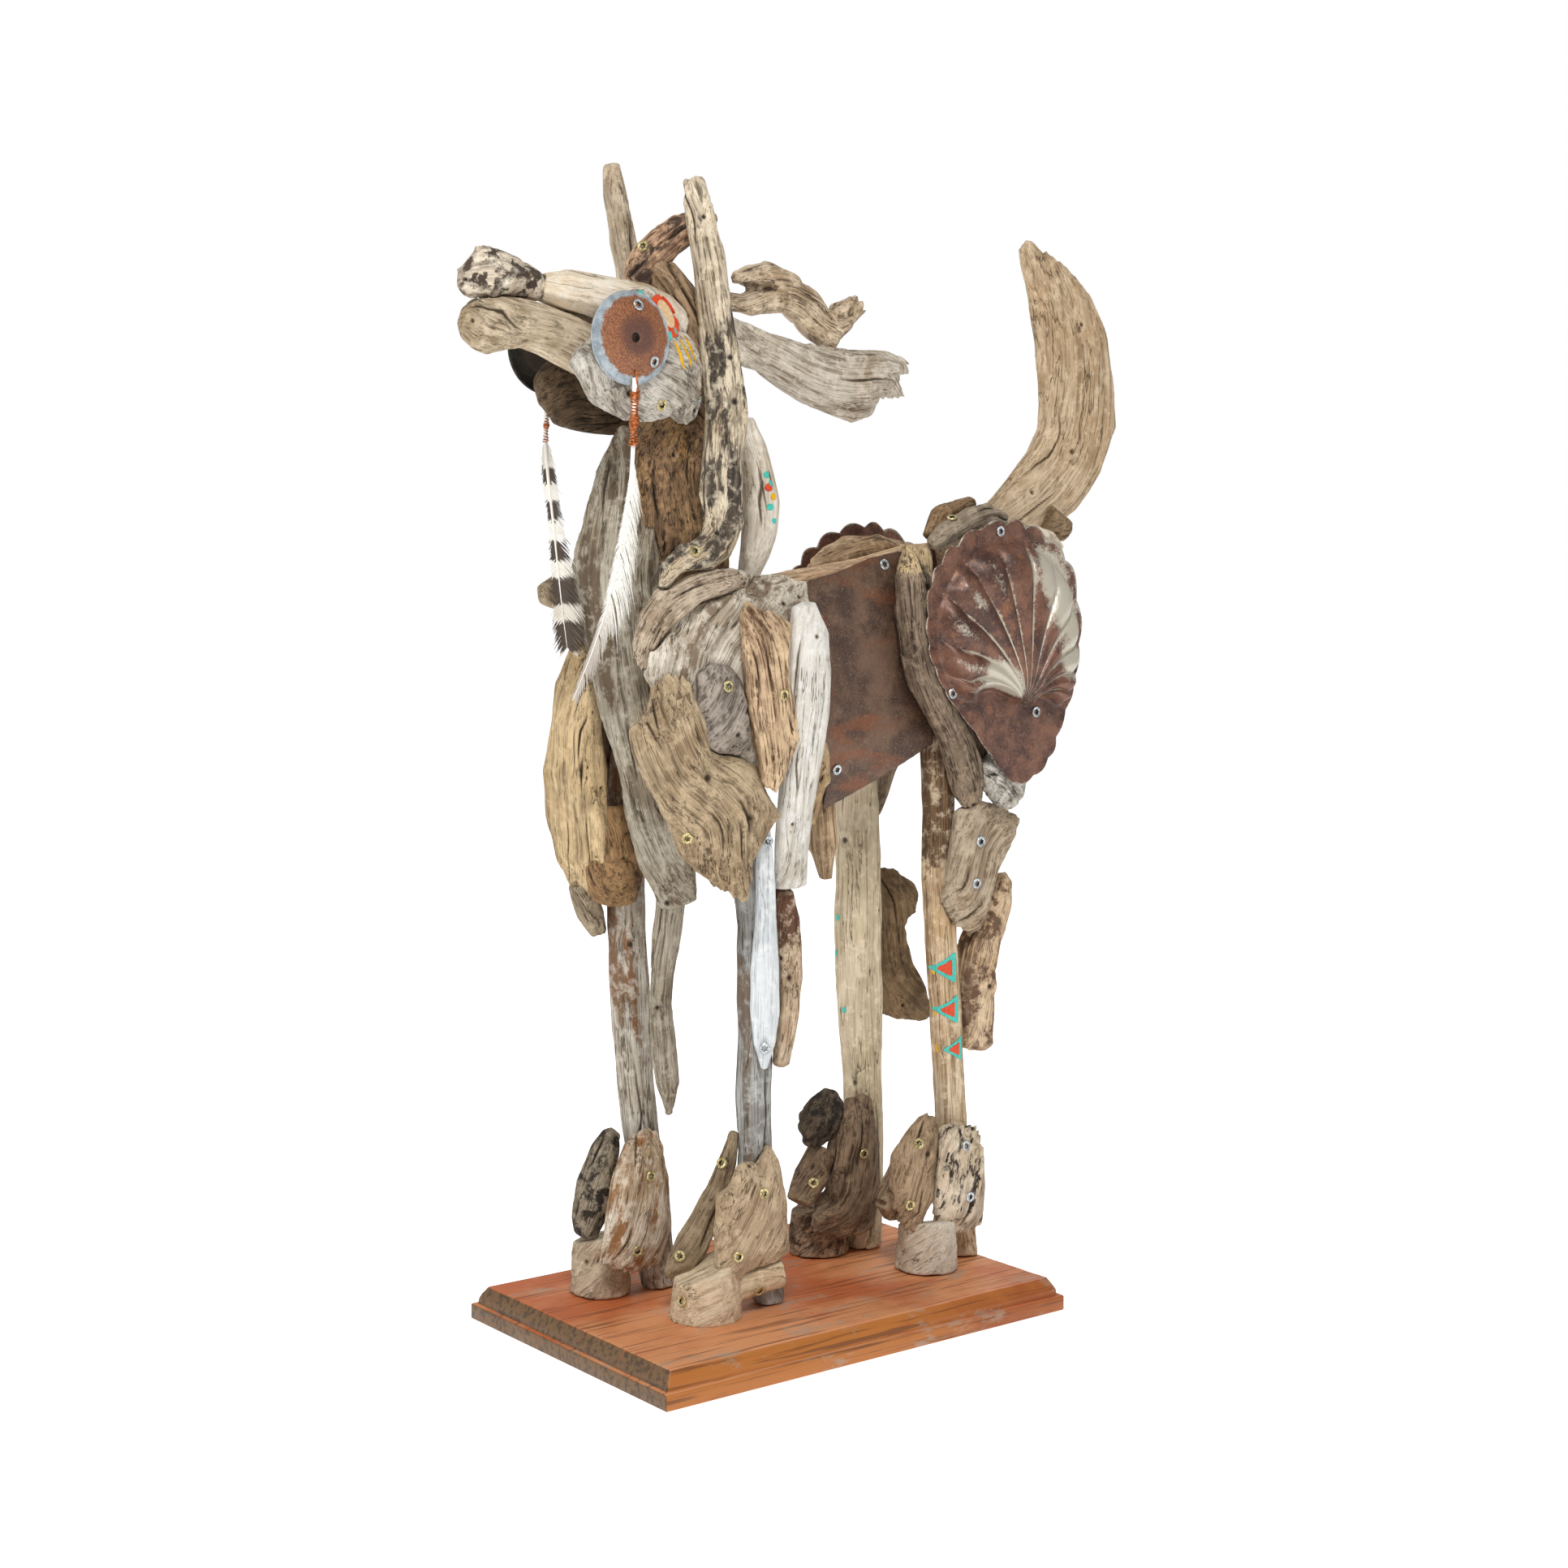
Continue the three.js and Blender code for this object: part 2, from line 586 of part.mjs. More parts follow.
// Pasterns
add('pastern_fore_left_slab', wood('tan'), slab({
  outline: [
    [-50, 178], [-40, 162], [-33, 133], [-30, 78], [-46, 72], [-70, 69], [-95, 58], [-106, 69],
    [-108, 107], [-105, 141], [-92, 146], [-81, 165], [-60, 163],
  ],
  side: 66, deep: 24,
}));
add('pastern_fore_left_stick', wood('brown'), limb({
  spine: [[36, -66, 184], [35, -77, 146], [31, -93, 112], [26, -110, 81], [22, -126, 64]],
  wide: [12, 18, 24, 29, 18], density: 1.5, sides: 8, seed: 35,
}));
add('pastern_fore_right_slab', wood('tan'), slab({
  outline: [
    [-118, 184], [-104, 174], [-95, 138], [-93, 87], [-105, 61], [-132, 56], [-162, 71],
    [-158, 104], [-152, 144], [-138, 175],
  ],
  side: -24, deep: 24,
}));
add('pastern_fore_right_stick', wood('dark'), limb({
  spine: [[-56, -132, 176], [-60, -142, 144], [-64, -149, 115], [-66, -153, 84]],
  wide: [18, 28, 32, 26], sides: 8, seed: 37,
}));
add('pastern_hind_right_slab', wood('brown'), slab({
  outline: [
    [102, 185], [116, 186], [128, 180], [138, 137], [138, 95], [129, 56], [95, 51], [60, 62],
    [60, 76], [81, 87], [84, 111], [80, 134], [85, 152],
  ],
  side: -12, deep: 24,
}));
add('pastern_hind_right_bark', wood('bark'), limb({
  spine: [[-14, 85, 189], [-16, 70, 166], [-20, 63, 143]],
  wide: [28, 42, 24], deep: [18, 26, 20], face: LEFT, knots: 0.1, sides: 8, seed: 39,
}));
add('pastern_hind_left_slab', wood('tan'), slab({
  outline: [
    [135, 180], [148, 167], [145, 137], [139, 95], [123, 70], [111, 72], [97, 86], [91, 114],
    [95, 144], [116, 169],
  ],
  side: 62, deep: 20,
}));
add('pastern_hind_left_birch', wood('birch'), slab({
  outline: [
    [145, 163], [168, 164], [189, 158], [198, 137], [199, 98], [195, 66], [174, 60],
    [148, 66], [139, 100], [141, 137],
  ],
  side: 66, deep: 24,
}));

// Legs
add('foreleg_left', wood('brown'), limb({
  spine: [
    [45, -66, 540], [47, -60, 440], [48, -50, 337], [47, -53, 245], [47, -53, 180],
    [48, -40, 60], [48, -39, 28],
  ],
  wide: [31, 31, 30, 30, 30, 28, 27], ends: [0.3, 0], density: 1.2, knots: 0.03, sides: 8, seed: 42,
}));
add('foreleg_right', wood('brown'), limb({
  spine: [
    [-42, -118, 540], [-44, -124, 440], [-46, -119, 317], [-48, -114, 244], [-49, -107, 177],
    [-49, -90, 60], [-49, -86, 28],
  ],
  wide: [35, 35, 33, 32, 33, 31, 30], ends: [0.3, 0], density: 1.2, knots: 0.03, sides: 8, seed: 43,
}));
add('hindleg_left', wood('tan'), limb({
  spine: [
    [38, 152, 600], [40, 163, 506], [41, 164, 443], [42, 164, 375], [43, 171, 280],
    [43, 178, 161], [43, 193, 60], [43, 196, 28],
  ],
  wide: [30, 30, 29, 28, 30, 28, 26, 26], ends: [0.3, 0], density: 1.2, knots: 0.03, sides: 8, seed: 44,
}));
add('hindleg_right', wood('brown'), limb({
  spine: [
    [-34, 140, 600], [-38, 128, 499], [-38, 132, 446], [-38, 134, 369], [-38, 134, 310],
    [-38, 138, 222], [-38, 142, 120], [-38, 140, 28],
  ],
  wide: [38, 40, 42, 41, 44, 38, 36, 35], ends: [0.3, 0], density: 1.2, knots: 0.03, sides: 8, seed: 45,
}));

// Hooves
const hoof = (spec) => limb({ face: [0.7, -0.7, 0], knots: 0.07, sides: 8, ...spec });
add('hoof_fore_left', wood('bark'), joined(
  hoof({
    spine: [[48, -102, 28], [48, -102, 46], [48, -106, 72]],
    wide: [62, 66, 42], deep: [50, 54, 38], seed: 46, ends: [0, 0.5],
  }),
  hoof({
    spine: [[48, -104, 48], [54, -70, 52], [62, -36, 60]],
    wide: [32, 27, 22], deep: [30, 26, 22], face: LEFT, seed: 47,
  }),
));
add('hoof_fore_right', wood('bark'), hoof({
  spine: [[-67, -137, 28], [-66, -140, 50], [-65, -147, 80]],
  wide: [56, 54, 34], deep: [46, 44, 30], ends: [0, 0.5], seed: 48,
}));
add('hoof_hind_left', wood('bark'), hoof({
  spine: [[53, 141, 28], [53, 141, 46], [52, 143, 70]],
  wide: [56, 58, 52], deep: [46, 48, 42], ends: [0, 0.4], seed: 49,
}));
add('hoof_hind_right', wood('bark'), hoof({
  spine: [[-48, 94, 28], [-48, 93, 46], [-46, 91, 72]],
  wide: [54, 57, 52], deep: [44, 46, 42], ends: [0, 0.4], seed: 50,
}));

// Body
add('flank_right', wood('grey'), limb({
  spine: [[-52, -40, 590], [-56, 20, 585], [-56, 80, 590], [-52, 140, 610]],
  wide: [120, 150, 150, 110], deep: [14, 18, 18, 14], face: RIGHT, square: 0.6, sides: 8, seed: 51,
}));
add('trunk', wood('grey'), limb({
  spine: [[0, -128, 612], [4, -60, 606], [6, 20, 604], [4, 100, 622], [0, 180, 648], [0, 224, 668]],
  wide: [90, 120, 130, 124, 104, 60], deep: [70, 92, 96, 90, 76, 50], face: LEFT,
  density: 1.2, sides: 8, seed: 52,
}));

const horse = new THREE.Group();
const fitted = [];
for (const { name, material, geometry } of pieces) {
  let solid = solidOf(geometry);
  geometry.computeBoundingBox();
  for (const earlier of fitted) {
    if (!earlier.box.intersectsBox(geometry.boundingBox)) continue;
    solid = solid.subtract(earlier.cutter);
  }
  const grown = swollen(geometry);
  grown.computeBoundingBox();
  fitted.push({ box: grown.boundingBox, cutter: solidOf(grown).add(solidOf(geometry)) });
  const mesh = new THREE.Mesh(geometryOf(largest(solid)), material);
  mesh.name = name;
  horse.add(mesh);
}

export default horse;
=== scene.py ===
import itertools
import math

import bmesh
import bpy
import numpy as np
from mathutils import Matrix, Vector
from mathutils.bvhtree import BVHTree


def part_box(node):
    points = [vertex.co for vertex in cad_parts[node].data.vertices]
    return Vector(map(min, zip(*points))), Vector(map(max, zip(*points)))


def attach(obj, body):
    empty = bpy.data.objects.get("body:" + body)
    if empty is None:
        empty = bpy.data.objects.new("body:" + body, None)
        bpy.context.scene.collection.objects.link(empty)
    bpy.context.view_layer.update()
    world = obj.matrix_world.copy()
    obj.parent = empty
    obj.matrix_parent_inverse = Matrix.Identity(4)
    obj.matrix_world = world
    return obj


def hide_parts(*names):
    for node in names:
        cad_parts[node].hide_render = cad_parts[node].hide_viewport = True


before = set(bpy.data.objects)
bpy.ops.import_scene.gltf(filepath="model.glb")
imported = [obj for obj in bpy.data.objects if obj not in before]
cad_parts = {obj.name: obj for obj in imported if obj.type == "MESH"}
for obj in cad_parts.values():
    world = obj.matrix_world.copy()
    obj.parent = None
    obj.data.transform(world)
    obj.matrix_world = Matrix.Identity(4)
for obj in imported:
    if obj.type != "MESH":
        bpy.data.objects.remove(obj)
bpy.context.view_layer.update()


# The studio
# A plain pale floor that runs out of sight, a white surround and three large soft lamps.
# The camera stands at the horse's left front, a little above its chest.

MM = 0.001
FLOOR_REACH = 40.0
FLOOR_WHITE = "E8E7E5"
FLOOR_GLOW = 0.8
AMBIENT = 0.3  # how strongly the white surround lights the horse
LAMP_AIM = Vector((0, 0, 0.5))
LENS = 55
SENSOR = 36
CAMERA_PLACE = (1.68539, -1.28065, 0.66771)
CAMERA_TURN = (84.967, 0, 52.408)  # degrees
LAMPS = (
    # name, place, width, power
    ("key_lamp", (2.2, -1.6, 3.4), 1.1, 88.0),
    ("left_lamp", (-1.6, -3.2, 2.2), 1.6, 30.0),
    ("back_lamp", (-1.4, 2.6, 2.8), 1.8, 26.0),
)


def tone(code):
    """A colour from its six hexadecimal digits, as the shader wants it."""
    shares = [int(code[i:i + 2], 16) / 255 for i in (0, 2, 4)]
    linear = [s / 12.92 if s <= 0.04045 else ((s + 0.055) / 1.055) ** 2.4 for s in shares]
    return (*linear, 1)


def feed(tree, node, inputs):
    """Gives a shader node its inputs. Each is a value, or the socket that feeds it."""
    for key, value in inputs.items():
        if isinstance(value, bpy.types.NodeSocket):
            tree.links.new(value, node.inputs[key])
        else:
            node.inputs[key].default_value = value


def add_node(tree, kind, inputs=None, **settings):
    made = tree.nodes.new(kind)
    for key, value in settings.items():
        setattr(made, key, value)
    feed(tree, made, inputs or {})
    return made


class Finish:
    """A material in the making. A colour is six hexadecimal digits, four shares or a socket."""

    def __init__(self, name):
        self.material = bpy.data.materials.new(name)
        self.material.use_nodes = True
        self.tree = self.material.node_tree
        self.surface = self.tree.nodes["Principled BSDF"]
        self.spot = self.add("ShaderNodeTexCoord", "Object")

    def add(self, kind, output=0, inputs=None, **settings):
        """One output of a new node."""
        return add_node(self.tree, kind, inputs, **settings).outputs[output]

    def noise(self, scale, detail=4, rough=0.6, shift=0, source=None):
        """Noise, drawn out differently along each axis if it has three scales."""
        scale = scale if isinstance(scale, tuple) else (scale,) * 3
        moved = self.add("ShaderNodeMapping", 0, {
            "Vector": source or self.spot, "Scale": scale, "Location": (shift,) * 3})
        return self.add("ShaderNodeTexNoise", 0, {
            "Vector": moved, "Scale": 1.0, "Detail": detail, "Roughness": rough})

    def math(self, kind, first, second=0.0):
        return self.add("ShaderNodeMath", 0, {0: first, 1: second}, operation=kind)

    def ease(self, value, low, high, most=1.0):
        """Eases a value from 0 at `low` to `most` at `high`."""
        eased = self.add(
            "ShaderNodeMapRange", 0, {"Value": value, "From Min": low, "From Max": high},
            interpolation_type="SMOOTHSTEP")
        return eased if most == 1 else self.math("MULTIPLY", eased, most)

    def swing(self, value, reach):
        """A noise's swing either side of nothing."""
        return self.math("MULTIPLY", self.math("SUBTRACT", value, 0.5), reach)

    def scaled(self, value, low, high):
        return self.add("ShaderNodeMapRange", 0, {"Value": value, "To Min": low, "To Max": high})

    def mix(self, share, first, second):
        """The first colour, giving way to the second as the share rises."""
        first, second = (tone(c) if isinstance(c, str) else c for c in (first, second))
        return self.add("ShaderNodeMix", 2, {0: share, 6: first, 7: second}, data_type="RGBA")

    def coat(self, colour, rough, metallic=0.0, more=None):
        colour = tone(colour) if isinstance(colour, str) else colour
        feed(self.tree, self.surface, {
            "Base Color": colour, "Roughness": rough, "Metallic": metallic, **(more or {})})

    def relief(self, height, depth, strength=0.5):
        """Bump of that depth in millimetres."""
        bump = self.add("ShaderNodeBump", 0, {
            "Height": height, "Distance": depth * MM, "Strength": strength})
        feed(self.tree, self.surface, {"Normal": bump})


def new_object(name, mesh):
    made = bpy.data.objects.new(name, mesh)
    bpy.context.scene.collection.objects.link(made)
    return made


def object_from(name, shape):
    """A mesh object from a bmesh, which is then finished with."""
    mesh = bpy.data.meshes.new(name)
    shape.to_mesh(mesh)
    shape.free()
    return new_object(name, mesh)


world = bpy.data.worlds.new("surround")
world.use_nodes = True
backdrop = world.node_tree.nodes["Background"]
backdrop.inputs["Color"].default_value = (1, 1, 1, 1)
seen = add_node(world.node_tree, "ShaderNodeLightPath").outputs["Is Camera Ray"]
level = add_node(
    world.node_tree, "ShaderNodeMapRange", {"Value": seen, "To Min": AMBIENT, "To Max": 1.0})
world.node_tree.links.new(level.outputs["Result"], backdrop.inputs["Strength"])
bpy.context.scene.world = world
bpy.context.scene.view_settings.view_transform = "Standard"

floor_shape = bmesh.new()
bmesh.ops.create_grid(floor_shape, x_segments=1, y_segments=1, size=FLOOR_REACH)
floor = object_from("floor", floor_shape)
floor_finish = Finish("floor_white")
floor_finish.coat(
    FLOOR_WHITE, 0.9, more={"Emission Color": (1, 1, 1, 1), "Emission Strength": FLOOR_GLOW})
floor.data.materials.append(floor_finish.material)

for lamp_name, place, width, power in LAMPS:
    lamp = bpy.data.lights.new(lamp_name, "AREA")
    lamp.shape = "DISK"
    lamp.size = width
    lamp.energy = power
    holder = new_object(lamp_name, lamp)
    holder.location = place
    holder.rotation_euler = (LAMP_AIM - Vector(place)).to_track_quat("-Z", "Y").to_euler()

camera_data = bpy.data.cameras.new("camera")
camera_data.lens = LENS
camera_data.sensor_width = SENSOR
camera = new_object("camera", camera_data)
camera.location = CAMERA_PLACE
camera.rotation_euler = [math.radians(a) for a in CAMERA_TURN]
bpy.context.scene.camera = camera


# Plinth
# One softwood board with a small stepped moulding run round its upper edge, stained orange-red
# and worn through in places. Its grain runs along its length.

PLINTH_STEPS = ((0, 14), (4.5, 0), (0.5, 5), (2.5, 5), (4.0, 6))  # inset and rise, mm
PLINTH_EDGE = 1.2 * MM
PLINTH_DICE = (3 * MM, 8 * MM)  # across and along the board


def noise(points, seed):
    """Smooth noise from -1 to 1 at rows of points, about one swing to a unit."""
    cell = np.floor(points)
    part = points - cell
    ease = part * part * (3 - 2 * part)
    total = np.zeros(len(points))
    for corner in itertools.product((0, 1), repeat=3):
        key = (cell + corner) @ np.array((127.1, 311.7, 74.7)) + 53.9 * seed
        value = np.sin(key) * 43758.5453
        share = np.prod(np.where(np.array(corner) == 1, ease, 1 - ease), axis=1)
        total += share * (value - np.floor(value))
    return 2 * total - 1


def corners_of(mesh):
    flat = np.empty(3 * len(mesh.vertices))
    mesh.vertices.foreach_get("co", flat)
    return flat.reshape(-1, 3)


def normals_of(mesh):
    flat = np.empty(3 * len(mesh.vertices))
    mesh.vertex_normals.foreach_get("vector", flat)
    return flat.reshape(-1, 3)


def move_to(mesh, points):
    mesh.vertices.foreach_set("co", points.astype(np.float32).ravel())
    mesh.update()


def settle(piece):
    """Applies the piece's modifiers to its mesh."""
    graph = bpy.context.evaluated_depsgraph_get()
    mesh = bpy.data.meshes.new_from_object(piece.evaluated_get(graph))
    piece.modifiers.clear()
    piece.data = mesh


def fix(piece, finish, slot, *nodes):
    """Finishes a piece of the horse's one body, which stands for these CAD nodes."""
    piece.data.materials.append(finish.material)
    for face in piece.data.polygons:
        face.use_smooth = True
    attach(piece, "root")
    if nodes:
        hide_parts(*nodes)


def diced(shape, step, low, high, axes):
    """Cuts a mesh by even planes across each axis, so that its faces can bend."""
    for axis in axes:
        normal = [float(k == axis) for k in range(3)]
        place = low[axis] + step
        while place < high[axis]:
            bmesh.ops.bisect_plane(
                shape, geom=shape.verts[:] + shape.edges[:] + shape.faces[:],
                plane_co=[place * n for n in normal], plane_no=normal)
            place += step


low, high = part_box("plinth")
plinth_shape = bmesh.new()
bmesh.ops.create_grid(plinth_shape, x_segments=1, y_segments=1, size=0.5)
bmesh.ops.scale(plinth_shape, vec=(high.x - low.x, high.y - low.y, 1), verts=plinth_shape.verts)
bmesh.ops.reverse_faces(plinth_shape, faces=plinth_shape.faces)
top = bmesh.ops.extrude_face_region(plinth_shape, geom=plinth_shape.faces[:])["geom"]
top_faces = [g for g in top if isinstance(g, bmesh.types.BMFace)]
bmesh.ops.reverse_faces(plinth_shape, faces=top_faces)
for inset, rise in PLINTH_STEPS:
    if inset:
        bmesh.ops.inset_region(
            plinth_shape, faces=top_faces, thickness=inset * MM, use_even_offset=True)
    corners = {v for f in top_faces for v in f.verts}
    bmesh.ops.translate(plinth_shape, vec=(0, 0, rise * MM), verts=list(corners))
bmesh.ops.recalc_face_normals(plinth_shape, faces=plinth_shape.faces)
bmesh.ops.bevel(
    plinth_shape, geom=plinth_shape.edges[:], offset=PLINTH_EDGE, segments=2,
    affect="EDGES", profile=0.5, material=-1)
diced(plinth_shape, PLINTH_DICE[0], low, high, (0,))
diced(plinth_shape, PLINTH_DICE[1], low, high, (1,))
plinth = object_from("plinth_board", plinth_shape)
place = corners_of(plinth.data)
dents = 0.35 * MM * noise(place * (30, 8, 60), 3) + 0.25 * MM * noise(place * (260, 14, 260), 4)
move_to(plinth.data, place + normals_of(plinth.data) * dents[:, None] * (place[:, 2:] > MM))

stain = Finish("plinth_stain")
facing = stain.add("ShaderNodeNewGeometry", "Normal")
sides = stain.add("ShaderNodeSeparateXYZ", inputs={"Vector": facing}).node.outputs
rings = stain.noise((260, 7, 260), 3)
fibre = stain.noise((900, 30, 900), 2)
wash = stain.noise((9, 6, 9), 5)
scuff = stain.noise((42, 16, 42), 6, 0.7, 3)
fleck = stain.noise((160, 120, 160), 3, shift=9)
# The top is painted lighter than the sides by which way each face points: painted light on the top,
# painted shade on the sides.
lit_top_colour = stain.mix(stain.ease(wash, 0.4, 0.62), "C56A3B", "DC9665")
shaded_side_colour = stain.mix(stain.ease(wash, 0.35, 0.6), "9B501D", "B56E2D")
end_colour = stain.mix(stain.ease(rings, 0.46, 0.62), "735433", "4C3922")
colour = stain.mix(stain.ease(sides["Z"], 0.6, 0.9), shaded_side_colour, lit_top_colour)
colour = stain.mix(stain.ease(rings, 0.54, 0.64, 0.6), colour, "4A2714")
colour = stain.mix(stain.ease(scuff, 0.55, 0.66, 0.6), colour, "A89884")
colour = stain.mix(stain.ease(stain.math("ABSOLUTE", sides["Y"]), 0.5, 0.8), colour, end_colour)
colour = stain.mix(stain.ease(fleck, 0.71, 0.74), colour, "C23F1E")
stain.coat(colour, stain.scaled(scuff, 0.35, 0.62))
stain.relief(stain.math("ADD", rings, stain.math("MULTIPLY", fibre, 0.5)), 0.5)
fix(plinth, stain, "stained_plinth_wood", "plinth")


# Legs
# Four straight limbs of driftwood, peeled and greyed by the sea, each a single round length
# that stands on the plinth and is screwed up into the wood above it.

VOXEL = 1.7 * MM
SMOOTHING = 12
CENTRE_STEP = 14 * MM


class Grain:
    """How the fibres run in a piece: its centreline, and each point's place along and across it."""

    def __init__(self, points, links):
        far = self.steps_from(self.farthest(0, links), links)
        spread = np.linalg.norm(np.ptp(points, axis=0))
        slices = max(4, int(spread / CENTRE_STEP))
        bins = np.minimum((far / (far.max() + 1) * slices).astype(int), slices - 1)
        count = np.maximum(np.bincount(bins, minlength=slices), 1)
        line = np.stack([np.bincount(bins, points[:, k], slices) / count for k in range(3)], axis=1)
        line = line[np.bincount(bins, minlength=slices) > 0]
        for _ in range(2):
            line[1:-1] = (line[:-2] + 2 * line[1:-1] + line[2:]) / 4
        self.line = line
        self.place(points)

    def farthest(self, start, links):
        return int(np.argmax(self.steps_from(int(np.argmax(self.steps_from(start, links))), links)))

    def steps_from(self, start, links):
        """The number of edges from one corner of the mesh to every other."""
        steps = np.full(len(links), -1)
        steps[start] = 0
        edge = np.array([start])
        level = 0
        while len(edge):
            level += 1
            near = links[edge].ravel()
            edge = np.unique(near[steps[near] < 0])
            steps[edge] = level
        return np.maximum(steps, 0)

    def place(self, points):
        """Finds each point's distance along the centreline, and its two offsets across it."""
        ends, starts = self.line[1:], self.line[:-1]
        span = ends - starts
        length = np.linalg.norm(span, axis=1)
        before = np.concatenate([[0], np.cumsum(length)])[:-1]
        offset = points[:, None, :] - starts[None]
        share = (offset * span).sum(2) / (length ** 2)
        low = np.zeros(len(span))
        high = np.ones(len(span))
        low[0] = -9
        high[-1] = 9
        share = np.clip(share, low, high)
        gap = offset - share[:, :, None] * span
        nearest = np.argmin((gap ** 2).sum(2), axis=1)
        row = np.arange(len(points))
        self.along = before[nearest] + share[row, nearest] * length[nearest]
        self.length = before[-1] + length[-1]
        self.tangent = (span / length[:, None])[nearest]
        away = gap[row, nearest]
        thin = np.linalg.eigh(np.cov(away.T))[1]
        axis = self.line[-1] - self.line[0]
        axis = axis / np.linalg.norm(axis)
        choices = [thin[:, k] for k in range(3)]
        face = min(choices, key=lambda v: abs(v @ axis) * 4 + (away @ v).std() / MM / 9)
        across = np.cross(self.tangent, face)
        across /= np.linalg.norm(across, axis=1)[:, None] + 1e-9
        up = np.cross(across, self.tangent)
        self.u = (away * across).sum(1)
        self.v = (away * up).sum(1)


def neighbours(mesh, most=8):
    """Each corner's neighbours, one row to a corner, filled up with the corner itself."""
    pairs = np.empty(2 * len(mesh.edges), dtype=np.int32)
    mesh.edges.foreach_get("vertices", pairs)
    pairs = pairs.reshape(-1, 2)
    pairs = np.concatenate([pairs, pairs[:, ::-1]])
    pairs = pairs[np.argsort(pairs[:, 0], kind="stable")]
    rank = np.arange(len(pairs)) - np.searchsorted(pairs[:, 0], pairs[:, 0])
    links = np.repeat(np.arange(len(mesh.vertices))[:, None], most, axis=1)
    kept = rank < most
    links[pairs[kept, 0], rank[kept]] = pairs[kept, 1]
    return links


def relaxed(points, links, rounds):
    """Smooths the points without shrinking the piece."""
    own = np.arange(len(points))[:, None]
    count = (links != own).sum(1)[:, None]
    extra = links.shape[1] - count
    for k in range(2 * rounds):
        mean = (points[links].sum(1) - extra * points) / np.maximum(count, 1)
        points = points + (0.6 if k % 2 == 0 else -0.61) * (mean - points)
    return points


def store(mesh, name, kind, field, values):
    layer = mesh.attributes.new(name, kind, "POINT")
    layer.data.foreach_set(field, values.astype(np.float32).ravel())


